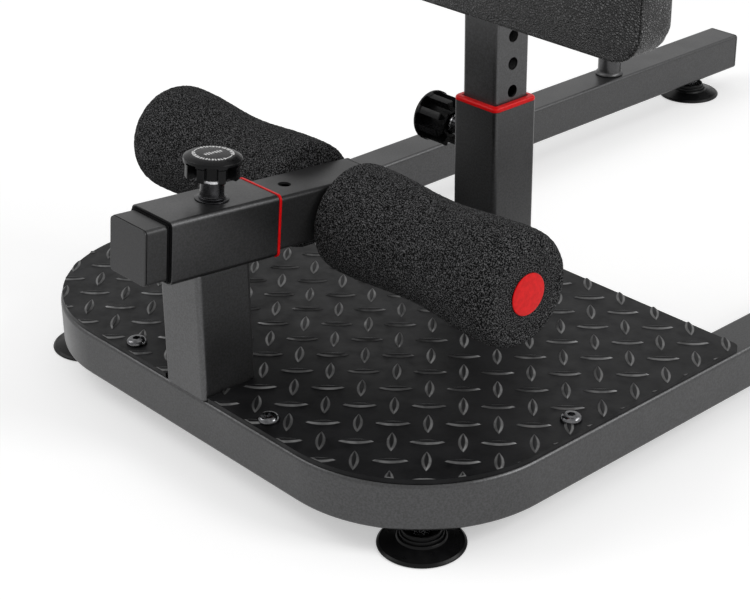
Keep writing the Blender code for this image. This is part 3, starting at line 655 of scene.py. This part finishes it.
def thread(radius, bottom, top, pitch, depth):
    """The outline of a threaded length, as a row of sharp ridges."""
    points = []
    turns = round((top - bottom) / pitch)
    for i in range(turns):
        at = bottom + (top - bottom) * i / turns
        points += [(radius - depth, at + 0.1 * pitch), (radius, at + 0.55 * pitch)]
    return points + [(radius - depth, top)]


def hexagon(name, radius, length, place, rounding, rim, turn=(0, 0, 0)):
    """A nut or bolt head: its long edges rounded, its two faces raised inside a bevelled rim."""
    rod(6, radius, length, place, turn)
    piece = start_editing(name)
    round_edges(piece, 2, rounding, 2)
    pick(piece, lambda f: abs(f.normal.z) > 0.9)
    bpy.ops.mesh.inset(thickness=rim[0], depth=rim[1])
    bpy.ops.object.mode_set(mode="OBJECT")
    return piece


foot = [(0.0335, 0.0), (0.0342, 0.0002)] + arc((0.0340, 0.0012), 0.0010, -60, 60, 4)
foot += [(0.0330, 0.0032), (0.0322, 0.0030), (0.0200, 0.0070)]
foot += arc((0.0184, 0.0080), 0.0009, 20, 110, 3) + [(0.0175, 0.0084), (0.0174, 0.0104)]
foot += arc((0.0165, 0.0107), 0.0008, 10, 100, 3) + [(0.0159, 0.0113), (0.0158, 0.0138)]
foot += arc((0.0150, 0.0139), 0.0007, 10, 170, 4) + [(0.0140, 0.0118), (0.0132, 0.0106)]
foot += [(0.0056, 0.0104), (0.0056, 0.0094)]
for tag in ("front_near", "front_far", "rear_near", "rear_far"):
    low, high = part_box("foot_disc_" + tag)
    middle = (low + high) / 2
    disc = turned("foot_plate_" + tag, foot, 72)
    disc.location = (middle.x, middle.y, low.z)
    hand_over(disc, foot_black, "foot_%s_disc" % tag, "foot_rubber", "foot_disc_" + tag, angle=40)
    outline = [(0.0036, 0.0107), (0.0044, 0.0111), (0.0044, 0.0225)]
    outline += thread(0.0050, 0.0226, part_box("foot_stud_" + tag)[1].z, 0.0015, 0.0006)
    stud = turned("foot_stud_thread_" + tag, outline, 24)
    stud.location = (middle.x, middle.y, 0)
    hand_over(stud, bright_steel, "foot_" + tag, "zinc_plated_steel", "foot_stud_" + tag, angle=50)
    nut = hexagon("foot_nut_" + tag, 0.0094, 0.0102, (middle.x, middle.y, 0.0173), 0.0006, (0.0009, 0.0005))
    hand_over(nut, bright_steel, "foot_" + tag, "zinc_plated_steel", angle=25)

# Band pegs
# A short round tube with a rounded top on each rail, welded on and coated with the frame.
# Exercise bands loop round it.
for tag in ("near", "far"):
    low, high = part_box("band_peg_" + tag)
    top = high.z - low.z
    outline = [(0.0150, 0.0), (0.0156, 0.0009), (0.0153, 0.0020), (0.0144, 0.0032), (0.0133, 0.0038)]
    outline += [(0.0130, 0.0048)] + arc((0.0096, top - 0.0034), 0.0034, 0, 90, 7) + [(0.0030, top + 0.0001)]
    peg = turned("band_peg_tube_" + tag, outline, 48)
    peg.location = ((low.x + high.x) / 2, (low.y + high.y) / 2, low.z)
    hand_over(peg, grey_coat, "base", "powder_coat", "band_peg_" + tag, angle=40)

# Front post
# A coated box tube that stands on the frame with its front flush with it. Its top is sawn to the slope of the
# sleeve and let in a little between the rounded corners of the sleeve's underside.
tilt = math.radians(5.436)
down_back = Vector((0, math.cos(tilt), -math.sin(tilt)))
straight_up = Vector((0, math.sin(tilt), math.cos(tilt)))
sleeve_at = Vector((0, -0.4103, 0.1927))
sleeve = 0.0522
post_coat = powder_coat("post_coat", 0.092, 0.36)
post_size = (0.0510, 0.0532)
post_wall = 0.0025
soft_corner = 0.0046
post_x = 0.0004
spare = 0.01
let_in = 0.0018
low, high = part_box("front_post")
post_top = high.z + spare
post = square_tube("front_upright", (post_x, low.y + post_size[1] / 2, (low.z + post_top) / 2), post_size,
                   post_top - low.z, post_wall, soft_corner)
bpy.ops.object.mode_set(mode="EDIT")
bpy.ops.mesh.select_all(action="SELECT")
saw_cut = sleeve_at - straight_up * (sleeve / 2 - let_in)
bpy.ops.mesh.bisect(plane_co=saw_cut, plane_no=straight_up, clear_outer=True)
bpy.ops.mesh.bridge_edge_loops()
bpy.ops.object.mode_set(mode="OBJECT")
hand_over(post, post_coat, "base", "powder_coat_post", "front_post")

# Front sleeve with its mouth liner and red bush
# A square steel sleeve, welded to the post at a slight slope. A black moulded liner fills its mouth and a red
# one its rear end, so that the roller tube slides without rattling.
sleeve_coat = powder_coat("sleeve_coat", 0.074, 0.34)
red_plastic = surface("red_plastic", (0.76, 0.004, 0.006), 0.28, 0.0, 0.16)
tint(red_plastic, mottle(red_plastic, 0.003, 3.0), (0.70, 0.003, 0.004), (0.82, 0.006, 0.008))
relief(red_plastic, mottle(red_plastic, 0.0008, 2.0), 0.00003, 0.5)
black_plastic = surface("black_plastic", (0.004, 0.004, 0.0045), 0.42, 0.0, 0.05)
polish(black_plastic, mottle(black_plastic, 0.004, 3.0), 0.36, 0.50)
relief(black_plastic, mottle(black_plastic, 0.0008, 2.0), 0.00004, 0.5)
facing_rear = (-tilt - quarter_turn, 0, 0)
facing_front = (quarter_turn - tilt, 0, 0)
mouth = -0.0926
sleeve_end = 0.0118
inner = 0.0457
liner_size = 0.0476
liner_wall = 0.00095
liner_length = 0.0224
liner_middle = mouth - 0.0024 + liner_length / 2


def on_slope(across, along, above):
    """A point given across the bench, down the sleeve's slope to the rear, and square off the slope."""
    return sleeve_at + Vector((across, 0, 0)) + down_back * along + straight_up * above


outer_sleeve = square_tube("roller_sleeve", on_slope(0, (mouth + sleeve_end) / 2, 0), (sleeve, sleeve),
                           sleeve_end - mouth, wall, soft_corner, facing_rear)
hand_over(outer_sleeve, sleeve_coat, "base", "powder_coat_sleeve", "front_sleeve")
liner = square_tube("sleeve_mouth_liner", on_slope(0, liner_middle, 0), (liner_size, liner_size),
                    liner_length, liner_wall, 0.0030, facing_rear)
hand_over(liner, black_plastic, "base", "black_plastic", "front_liner")


def square_ring(name, place, turn, outline, bore, rounding):
    """A square collar: a rounded face drawn up by the steps of its outline, then turned in to its bore."""
    flat((0, 0, 0), (outline[0][0], outline[0][0]))
    ring = start_editing(name)
    round_corners(rounding, 5)
    bpy.ops.mesh.select_mode(type="FACE")
    bpy.ops.mesh.select_all(action="SELECT")
    draw_up(outline)
    size, height = outline[-1]
    bpy.ops.mesh.inset(thickness=(size - bore) / 2, depth=0)
    bpy.ops.mesh.extrude_region_move(TRANSFORM_OT_translate={"value": (0, 0, -height)})
    pick(ring, lambda f: abs(f.normal.z) > 0.9 and abs(f.calc_center_median().z) < 1e-6)
    bpy.ops.mesh.delete(type="FACE")
    bridge_open_ends()
    finish_editing()
    ring.location = place
    ring.rotation_euler = turn
    return ring


lip = square_ring("sleeve_mouth_lip", on_slope(0, mouth - 0.0003, 0), facing_front,
                  ((0.0496, 0), (0.0498, 0.0002), (0.0498, 0.0005), (0.0493, 0.0007)), 0.0463, 0.0036)
hand_over(lip, black_plastic, "base", "black_plastic")
bush = square_ring("sleeve_red_bush", on_slope(0, sleeve_end + 0.0003, 0), facing_rear,
                   ((0.0530, 0), (0.0534, 0.0003), (0.0534, 0.0018), (0.0530, 0.0022), (0.0522, 0.0024)),
                   0.0462, 0.0044)
hand_over(bush, red_plastic, "base", "red_plastic", "front_bushing")

# Roller tube, its plugs and the axle
# The inner square tube carries the rollers. Its top is drilled in even steps for the lock pin, a plug closes
# each end, and the black axle tube passes through it and is welded on both sides.
inner_coat = powder_coat("inner_coat", 0.050, 0.36, 0.55)
tube_front = -0.1152
tube_rear = 0.126
hole_count = 6
hole_pitch = 0.0246
last_hole = 0.0387
first_hole = last_hole - (hole_count - 1) * hole_pitch
front_flange = 0.0018
rear_flange = 0.0033


def drill_row(piece, radius, depth, place, turn, step):
    """Drill a row of round holes in even steps."""
    drill = rod(32, radius, depth, place, turn)
    bake_place(drill)
    repeat(drill, step, hole_count)
    apply_modifiers(drill)
    combine(piece, drill, "DIFFERENCE")


cut_front = tube_front + front_flange
cut_rear = tube_rear - rear_flange
slide = square_tube("roller_tube", on_slope(0, (cut_front + cut_rear) / 2, 0), (inner, inner),
                    cut_rear - cut_front, wall, 0.0038, facing_rear)
drill_row(slide, 0.0055, 0.012, on_slope(0, first_hole, inner / 2), (-tilt, 0, 0), down_back * hole_pitch)
hand_over(slide, inner_coat, "carriage", "powder_coat_inner", "carriage_tube")
front_plug = tube_plug("roller_tube_plug_front", on_slope(0, tube_front, 0), facing_front,
                       inner - 0.0008, 0.016, 0.0012, 0.0004)
hand_over(front_plug, plug_grey, "carriage", "black_plastic", "carriage_cap_front")
rear_plug = tube_plug("roller_tube_plug_rear", on_slope(0, tube_rear, 0), facing_rear, inner, 0.014)
hand_over(rear_plug, plug_grey, "carriage", "black_plastic", "carriage_cap_rear")

low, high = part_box("roller_axle")
axle_at = (low + high) / 2
axle_bore = 0.0105
axle_radius = 0.0125
outline = [(axle_bore, low.x), (axle_bore, high.x), (axle_radius, high.x), (axle_radius, low.x)]
axle = turned("axle_tube", outline, 48, bored=True)
axle.location = (0, axle_at.y, axle_at.z)
axle.rotation_euler = (0, quarter_turn, 0)
hand_over(axle, black_steel, "carriage", "black_oxide_steel", "roller_axle")
weld_steps = 48
for side, tag in both_sides:
    bpy.ops.object.select_all(action="DESELECT")
    bpy.ops.mesh.primitive_torus_add(major_radius=0.0132, minor_radius=0.0013, major_segments=weld_steps,
                                     minor_segments=8, rotation=(0, quarter_turn, 0),
                                     location=(side * (inner / 2 + 0.0004), axle_at.y, axle_at.z))
    ring = start_editing("weld_axle_" + tag)
    pick(ring, lambda v: round(math.atan2(v.co.y, v.co.x) / (2 * math.pi / weld_steps)) % 2 == 0, "verts")
    bpy.ops.transform.shrink_fatten(value=-0.0003)
    bpy.ops.object.mode_set(mode="OBJECT")
    hand_over(ring, inner_coat, "carriage", "powder_coat_inner", angle=60)

# Foam rollers
# Thick black foam sleeves, moulded with two shoulders and a shallow waist and free to turn on the axle.
# The skin is open cells, so it is rough all over. A red moulded disc closes each outer end.
foam_inner = 0.0275
foam_outer = 0.2220
foam_bulge = 0.0478
foam_bulge_in = 0.0466
foam_waist = 0.0427
waist_start = 0.044
waist_end = 0.200
shoulder_out = 0.0100
shoulder_along = 0.0160
foam_bore = 0.0129
foam_black = surface("foam_black", (0.018, 0.018, 0.019), 0.95, 0.0, 0.08)
tint(foam_black, mottle(foam_black, 0.0010, 3.0), (0.0010, 0.0010, 0.0011), (0.23, 0.23, 0.235), 0.47, 0.78)
relief(foam_black, mottle(foam_black, 0.0016, 3.0), 0.0009, 0.8)


def foam_outline():
    """Half section of a roller, from the bore at the inner end to the bore at the outer end."""
    points = [(foam_bore, foam_inner + 0.0020), (foam_bore, foam_inner), (0.0145, foam_inner)]
    points.append((0.0240, foam_inner - 0.0001))
    points += arc((foam_bulge_in - 0.0050, foam_inner + 0.0050), 0.0050, -90, -20, 4)
    first = 0.0400
    last = 0.2060
    for i in range(26):
        x = first + (last - first) * i / 25
        share = min(1.0, max(0.0, (x - waist_start) / (waist_end - waist_start)))
        bulge = foam_bulge_in if share < 0.5 else foam_bulge
        points.append((bulge - (bulge - foam_waist) * (0.5 - 0.5 * math.cos(2 * math.pi * share)), x))
    for angle in range(15, 90, 15):
        out = shoulder_out * math.cos(math.radians(angle))
        along = shoulder_along * math.sin(math.radians(angle))
        points.append((foam_bulge - shoulder_out + out, foam_outer - shoulder_along + along))
    points += [(0.0300, foam_outer), (0.0145, foam_outer), (foam_bore, foam_outer)]
    return points + [(foam_bore, foam_outer - 0.0020)]


def divide(piece, levels):
    """Divide a piece's faces smoothly."""
    finer = piece.modifiers.new("finer", "SUBSURF")
    finer.levels = levels
    finer.render_levels = levels


cap = [(0.0096, -0.0140), (0.0102, -0.0134), (0.0102, 0.0003), (0.0166, 0.0003), (0.0172, 0.0007)]
cap += arc((0.0165, 0.0009), 0.0007, 0, 80, 5) + [(0.0140, 0.0018), (0.0100, 0.0019), (0.0020, 0.0020)]
for side, tag in both_sides:
    roller = turned("foam_sleeve_" + tag, foam_outline(), 56, bored=True)
    roller.rotation_euler = (0, side * quarter_turn, 0)
    roller.location = (0, axle_at.y, axle_at.z)
    bake_place(roller)
    divide(roller, 2)
    cells = bpy.data.textures.new("foam_cells_" + tag, "CLOUDS")
    cells.noise_scale = 0.0026
    cells.noise_depth = 2
    rough = roller.modifiers.new("cells", "DISPLACE")
    rough.texture = cells
    rough.texture_coords = "LOCAL"
    rough.strength = 0.0011
    rough.mid_level = 0.5
    apply_modifiers(roller)
    hand_over(roller, foam_black, "roller_" + tag, "black_foam", "foam_roller_" + tag, angle=80)
    end_disc = turned("roller_disc_" + tag, cap, 64)
    end_disc.rotation_euler = (0, side * quarter_turn, 0)
    end_disc.location = (side * foam_outer, axle_at.y, axle_at.z)
    hand_over(end_disc, red_plastic, "carriage", "red_plastic", "roller_cap_" + tag, angle=40)

# Rear sleeve and its red collar
# An upright square sleeve on the crossbar, in which the pad's post slides. A red moulded collar with bevelled
# edges sits on its top and guides the post. The sleeve is cut short under the collar.
low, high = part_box("rear_sleeve")
upright = (low + high) / 2
cut_short = 0.0010
outer_post = square_tube("rear_upright", (upright.x, upright.y, upright.z - cut_short / 2),
                         (high.x - low.x, high.y - low.y), high.z - low.z - cut_short, wall, 0.0042)
hand_over(outer_post, sleeve_coat, "base", "powder_coat_sleeve", "rear_sleeve")
weld_bead("weld_rear_upright", (low.x + 0.004, high.y, low.z), (high.x - 0.004, high.y, low.z), 0.0017,
          "base")
collar = square_ring("red_collar", (upright.x, upright.y, high.z - 0.0008), (0, 0, 0),
                     ((0.0518, 0), (0.0523, 0.0004), (0.0523, 0.0019), (0.0517, 0.0029), (0.0505, 0.0036),
                      (0.0486, 0.0040)), 0.0419, 0.0050)
hand_over(collar, red_plastic, "base", "red_plastic", "rear_collar")

# Pad post
# The inner upright, a coated square tube drilled through from side to side in even steps, with a plug in its
# top end. At rest its second hole stands before the lock pin.
rear_pin_z = 0.1827
post_pitch = 0.0252
low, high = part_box("pad_post")
pad_post = square_tube("pad_riser", (low + high) / 2, (high.x - low.x, high.y - low.y), high.z - low.z, wall,
                       0.0040)
drill_row(pad_post, 0.0057, 0.06, (0, upright.y, rear_pin_z - post_pitch), (0, quarter_turn, 0),
          (0, 0, post_pitch))
hand_over(pad_post, post_coat, "pad_lift", "powder_coat_post", "pad_post")
riser_plug = tube_plug("pad_riser_plug", (0, upright.y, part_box("pad_post_cap")[1].z), (0, 0, 0),
                       high.x - low.x, 0.016)
hand_over(riser_plug, plug_grey, "pad_lift", "black_plastic", "pad_post_cap")

# Lock pins and knobs
# A weld boss with a steel neck stands on each sleeve. A spring pin slides in it and carries a fluted moulded
# knob, whose pockets are open at the skirt's lower edge. Plain marks are printed on the head.
knob_black = surface("knob_black", (0.006, 0.006, 0.0065), 0.26, 0.0, 0.14)
polish(knob_black, mottle(knob_black, 0.003, 3.0), 0.22, 0.34)
relief(knob_black, mottle(knob_black, 0.0007, 2.0), 0.00003, 0.5)
mark_ink = surface("mark_ink", (0.40, 0.40, 0.40), 0.5)
tint(mark_ink, mottle(mark_ink, 0.0008, 2.0), (0.60, 0.60, 0.60), (0.85, 0.85, 0.85))
knob_rim = 0.0233
knob_skirt = 0.0220
pocket_x = 0.0192
pocket_depth = 0.0130
pocket_width = 0.0122
pocket_taper = 0.66
neck_bore = 0.0053
pin_radius = 0.00475


def knob_pockets(start, rim, phase):
    """The cutter for eight pockets round a knob's skirt, narrower inside, their upper corners rounded."""
    low = start - 0.001
    high = rim - 0.0027
    block((pocket_x, 0, (low + high) / 2), (pocket_depth, pocket_width, high - low))
    cutter = start_editing("pockets", in_place=True)
    pick(cutter, lambda v: v.co.x < pocket_x, "verts")
    bpy.ops.transform.resize(value=(1, pocket_taper, 1))
    pick(cutter, lambda e: e.verts[0].co.z > start and e.verts[1].co.z > start
         and abs(e.verts[0].co.x - e.verts[1].co.x) > 0.001, "edges")
    bpy.ops.mesh.bevel(offset=0.0013, segments=3, affect="EDGES")
    bpy.ops.mesh.select_all(action="SELECT")
    bpy.ops.mesh.spin(steps=7, dupli=True, angle=math.radians(315), center=(0, 0, 0), axis=(0, 0, 1))
    finish_editing()
    cutter.rotation_euler = (0, 0, phase)
    return cutter


def knob_marks(name, height):
    """Printed marks: two turning arrows, rows of ticks between them, and a plain scale across the middle."""
    arrow_in = 0.0146
    arrow_out = 0.0154
    rings = [(radius, height) for radius in (0.0137, arrow_in, arrow_out, 0.0165)]
    marks = draw_circle(name, rings, 120, False)

    def blank(face):
        """Whether a face is left out: all but the two arrows' arcs and the long and short ticks."""
        middle = face.calc_center_median()
        out = math.hypot(middle.x, middle.y)
        spoke = math.floor(math.degrees(math.atan2(middle.y, middle.x)) % 180 / 3)
        if spoke < 14:
            return not arrow_in < out < arrow_out
        if spoke > 57:
            return True
        return spoke % 3 == 0 or (spoke % 3 == 2 and out < arrow_out and spoke % 2 == 0)

    pick(marks, blank)
    bpy.ops.mesh.delete(type="FACE")
    bpy.ops.object.mode_set(mode="OBJECT")
    parts = [marks]
    for side in (0, math.pi):
        bpy.ops.object.select_all(action="DESELECT")
        bpy.ops.mesh.primitive_circle_add(vertices=3, radius=0.0021, fill_type="NGON", rotation=(0, 0, side),
                                          location=(0.0150 * math.cos(side), 0.0150 * math.sin(side), height))
        parts.append(bpy.context.object)
    for i in range(7):
        parts.append(flat((0, 0.0025 * (i - 3), height + 0.0003), (0.0042 if i % 3 else 0.0030, 0.0014)))
    bpy.ops.object.select_all(action="DESELECT")
    for part in parts:
        part.select_set(True)
    bpy.context.view_layer.objects.active = marks
    bpy.ops.object.join()
    layer = marks.modifiers.new("ink", "SOLIDIFY")
    layer.thickness = 0.00035
    layer.offset = 0
    apply_modifiers(marks)
    return marks


front_spot = on_slope(0, -0.0351, sleeve / 2)
rear_spot = Vector((-0.0259, upright.y, rear_pin_z))
for tag, spot, turn, start, rim, tip, phase in (
        ("front", front_spot, (-tilt, 0, 0), 0.0187, 0.0349, -0.0029, 4),
        ("rear", rear_spot, (0, -quarter_turn, 0), 0.0250, 0.0545, -0.0050, 9)):
    neck = start - 0.0012
    boss = [(neck_bore, 0.0003), (0.0138, 0.0003)] + arc((0.0135, 0.0007), 0.0003, -20, 80, 4)
    boss += [(0.0119, 0.0012), (0.0112, 0.0013)] + arc((0.0106, 0.0021), 0.0006, -60, 80, 5)
    boss += [(0.0100, 0.0030), (0.0096, 0.0041), (0.0095, neck - 0.0031), (neck_bore, neck - 0.0031)]
    barrel = turned("lock_boss_" + tag, boss, 48, bored=True)
    lip_ring = [(neck_bore, neck - 0.0030), (0.0091, neck - 0.0030), (0.0094, neck - 0.0027)]
    lip_ring += [(0.0094, neck - 0.0008), (0.0091, neck - 0.0003), (0.0086, neck), (neck_bore, neck)]
    lip = turned("lock_neck_lip_" + tag, lip_ring, 48, bored=True)
    shaft = [(0.0030, tip), (0.0036, tip + 0.0002), (pin_radius, tip + 0.0014), (pin_radius, rim - 0.0053)]
    pin = turned("lock_pin_" + tag, shaft, 32)
    shape = [(0.00505, rim - 0.0050), (0.00505, start + 0.0098), (0.0106, start + 0.0098), (0.0106, start)]
    shape += [(knob_skirt - 0.0007, start), (knob_skirt, start + 0.0007), (knob_skirt, rim - 0.0050)]
    shape += arc((knob_rim - 0.0008, rim - 0.0038), 0.0008, -60, 0, 3)
    shape += arc((knob_rim - 0.0012, rim - 0.0012), 0.0012, 0, 75, 4)
    shape += [(0.0205, rim + 0.0010), (0.0185, rim + 0.0017), (0.0165, rim + 0.00205), (0.0100, rim + 0.0025)]
    shape += [(0.0040, rim + 0.0026)]
    knob = turned("lock_knob_" + tag, shape, 64)
    combine(knob, knob_pockets(start, rim, math.radians(phase)), "DIFFERENCE")
    soft = knob.modifiers.new("soft_edges", "BEVEL")
    soft.width = 0.0006
    soft.segments = 2
    soft.limit_method = "ANGLE"
    soft.angle_limit = math.radians(40)
    apply_modifiers(knob)
    marks = knob_marks("knob_marks_" + tag, rim + 0.00225)
    for piece, look, body, slot, stands_for in (
            (barrel, black_steel, "base", "black_oxide_steel", tag + "_pin_barrel"),
            (lip, bright_steel, "base", "zinc_plated_steel", None),
            (pin, bright_steel, tag + "_lock_pin", "zinc_plated_steel", tag + "_pin"),
            (knob, knob_black, tag + "_lock_knob", "knob_plastic", tag + "_knob"),
            (marks, mark_ink, tag + "_lock_knob", "knob_plastic", None)):
        piece.location = spot
        piece.rotation_euler = turn
        hand_over(piece, look, body, slot, *([stands_for] if stands_for else []))

# Pad bracket and bolts
# A coated steel plate is welded across the post's front face. Two plated hexagon bolts pass through it into
# the board.
low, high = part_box("pad_bracket")
bracket_back = high.y
bolt_head = 0.005
pad_z = (low.z + high.z) / 2


def upright_panel(name, width, height, front, back, rounding, front_rim, back_rim=None):
    """A slab that stands square to Y, with four rounded corners and softened rims."""
    block((0, (front + back) / 2, pad_z), (width, back - front, height))
    slab = start_editing(name)
    round_edges(slab, 1, rounding, 10)
    for side, rim in ((-1, front_rim), (1, back_rim or front_rim)):
        edge = side * (back - front) / 2
        pick(slab, lambda e: all(abs(v.co.y - edge) < 1e-5 for v in e.verts)
             and e.calc_face_angle(0) > 1.0, "edges")
        bpy.ops.mesh.bevel(offset=rim, segments=3, affect="EDGES")
    bpy.ops.object.mode_set(mode="OBJECT")
    return slab


bracket = upright_panel("pad_plate", high.x - low.x, high.z - low.z, low.y, high.y, 0.008, 0.0006)
hand_over(bracket, post_coat, "pad_lift", "powder_coat_post", "pad_bracket")
for side, tag in both_sides:
    seam_x = side * 0.0210
    weld_bead("weld_pad_plate_" + tag, (seam_x, bracket_back, pad_z - 0.045),
              (seam_x, bracket_back, pad_z + 0.045), 0.0021, "pad_lift")
    low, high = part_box("pad_bolt_" + tag)
    bolt_x = (low.x + high.x) / 2
    outline = [(0.0034, 0), (0.0039, 0.0006), (0.0039, high.y - low.y - bolt_head)]
    shank = turned("pad_bolt_shank_" + tag, outline, 24)
    shank.location = (bolt_x, low.y, pad_z)
    shank.rotation_euler = (-quarter_turn, 0, 0)
    hand_over(shank, bright_steel, "pad_lift", "zinc_plated_steel", "pad_bolt_" + tag)
    head = hexagon("pad_bolt_head_" + tag, 0.0075, bolt_head, (bolt_x, high.y - bolt_head / 2, pad_z), 0.0005,
                   (0.0008, 0.0004), (quarter_turn, 0, 0))
    hand_over(head, bright_steel, "pad_lift", "zinc_plated_steel", angle=25)

# Pad board
# Plywood, sawn with rounded corners and sunk flush in the back of the cushion. Its grain runs across the
# bench and shows on its face and edges.
plywood = surface("plywood", (0.42, 0.28, 0.16), 0.68)
streaks = mottle(plywood, 0.012, 4.0, (0.12, 1.0, 1.0))
tint(plywood, streaks, (0.33, 0.21, 0.115), (0.50, 0.35, 0.21), 0.3, 0.7)
relief(plywood, mottle(plywood, 0.0012, 3.0, (0.08, 1.0, 1.0)), 0.00012, 0.6)
low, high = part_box("pad_board")
board = upright_panel("pad_plywood", high.x - low.x, high.z - low.z, low.y, high.y, 0.0237, 0.0004)
hand_over(board, plywood, "pad_lift", "plywood", "pad_board")

# Pad cushion
# Black grained leather over foam: a front panel that swells against its seam, a side strip round the edge and
# a thin piping sewn between them. The leather is turned in round the board at the back.
leather = surface("leather", (0.014, 0.014, 0.015), 0.40, 0.0, 0.72)
low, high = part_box("pad_cushion")
pad_half = high.x
pad_high = (high.z - low.z) / 2
pad_back = high.y
pad_front = low.y + 0.003
seam_y = pad_front + 0.0048
pad_corner = 0.030
board_gap = 0.0003
board_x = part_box("pad_board")[1].x + board_gap
board_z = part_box("pad_board")[1].z - pad_z + board_gap
front_swell = 0.0060
side_swell = 0.0014


def grain(look, size, height, strength):
    """Leather grain: small rounded cells with creases between them, and larger soft wrinkles."""
    tree = look.node_tree
    place = tree.nodes.new("ShaderNodeTexCoord")
    cells = tree.nodes.new("ShaderNodeTexVoronoi")
    cells.feature = "DISTANCE_TO_EDGE"
    cells.inputs["Scale"].default_value = 1.0 / size
    crease = tree.nodes.new("ShaderNodeMapRange")
    crease.inputs["From Max"].default_value = 0.30
    tree.links.new(place.outputs["Object"], cells.inputs["Vector"])
    tree.links.new(cells.outputs["Distance"], crease.inputs["Value"])
    relief(look, mottle(look, size * 4, 3.0), height * 1.5, strength)
    relief(look, crease.outputs["Result"], height, strength)
    return crease.outputs["Result"]


painted_grain_shade = grain(leather, 0.0021, 0.0022, 1.0)
# The grain also colours the leather: painted shade in the creases and a painted light tone on the cell tops.
tint(leather, painted_grain_shade, (0.0002, 0.0002, 0.0003), (0.122, 0.122, 0.124), 0.32, 1.0)
polish(leather, mottle(leather, 0.02, 4.0), 0.40, 0.54)


def pad_distance(x, z):
    """How far a point lies inside the pad's rounded outline, seen from the front."""
    over_x = max(abs(x) - (pad_half - pad_corner), 0.0)
    over_z = max(abs(z - pad_z) - (pad_high - pad_corner), 0.0)
    if over_x and over_z:
        return pad_corner - math.hypot(over_x, over_z)
    return min(pad_half - abs(x), pad_high - abs(z - pad_z))


# The even grid and the rounding draw the leather in, so it starts a little larger.
drawn_in = 0.0024
pad = upright_panel("pad_leather", 2 * pad_half + drawn_in, 2 * pad_high + drawn_in, pad_front, pad_back,
                    pad_corner, 0.0030, 0.0012)
fine = pad.modifiers.new("even_grid", "REMESH")
fine.mode = "VOXEL"
fine.voxel_size = 0.0042
apply_modifiers(pad)
bake_place(pad)
resting = [v.co.copy() for v in pad.data.vertices]
seam_band = 0.0026
edge_band = 0.004
held = [i for i, co in enumerate(resting) if co.y > pad_back - edge_band
        or (abs(co.y - seam_y) < seam_band and pad_distance(co.x, co.z) < edge_band)]
sewn = pad.vertex_groups.new(name="sewn")
sewn.add(held, 1.0, "REPLACE")
swell = pad.modifiers.new("swell", "CLOTH")
swell.settings.use_pressure = True
swell.settings.uniform_pressure_force = 4.0
swell.settings.effector_weights.gravity = 0.0
swell.settings.quality = 6
swell.settings.vertex_group_mass = "sewn"
swell.point_cache.frame_start = 1
swell.point_cache.frame_end = 20
for tick in range(1, 21):
    bpy.context.scene.frame_set(tick)
apply_modifiers(pad)
bpy.context.scene.frame_set(1)
for vertex, start in zip(pad.data.vertices, resting):
    move = vertex.co - start
    limit = front_swell if start.y < seam_y else side_swell
    if move.length > limit:
        vertex.co = start + move.normalized() * limit
pad.vertex_groups.clear()
divide(pad, 1)
apply_modifiers(pad)
sunk = 0.0085
recess = upright_panel("recess", 2 * board_x, 2 * board_z, pad_back - sunk, pad_back + sunk, 0.024, 0.0001)
combine(pad, recess, "DIFFERENCE")
hand_over(pad, leather, "pad_lift", "black_leather", "pad_cushion", angle=50)

stand_out = 0.0016
flat((0, seam_y, pad_z), (2 * pad_half + stand_out, 2 * pad_high + stand_out), (quarter_turn, 0, 0))
start_editing("pad_piping")
round_corners(pad_corner, 14)
bpy.ops.mesh.delete(type="ONLY_FACE")
bpy.ops.object.mode_set(mode="OBJECT")
bpy.ops.object.convert(target="CURVE")
piping = bpy.context.object
piping.data.bevel_depth = 0.0011
piping.data.bevel_resolution = 2
bpy.ops.object.convert(target="MESH")
piping = bpy.context.object
hand_over(piping, leather, "pad_lift", "black_leather", angle=80)
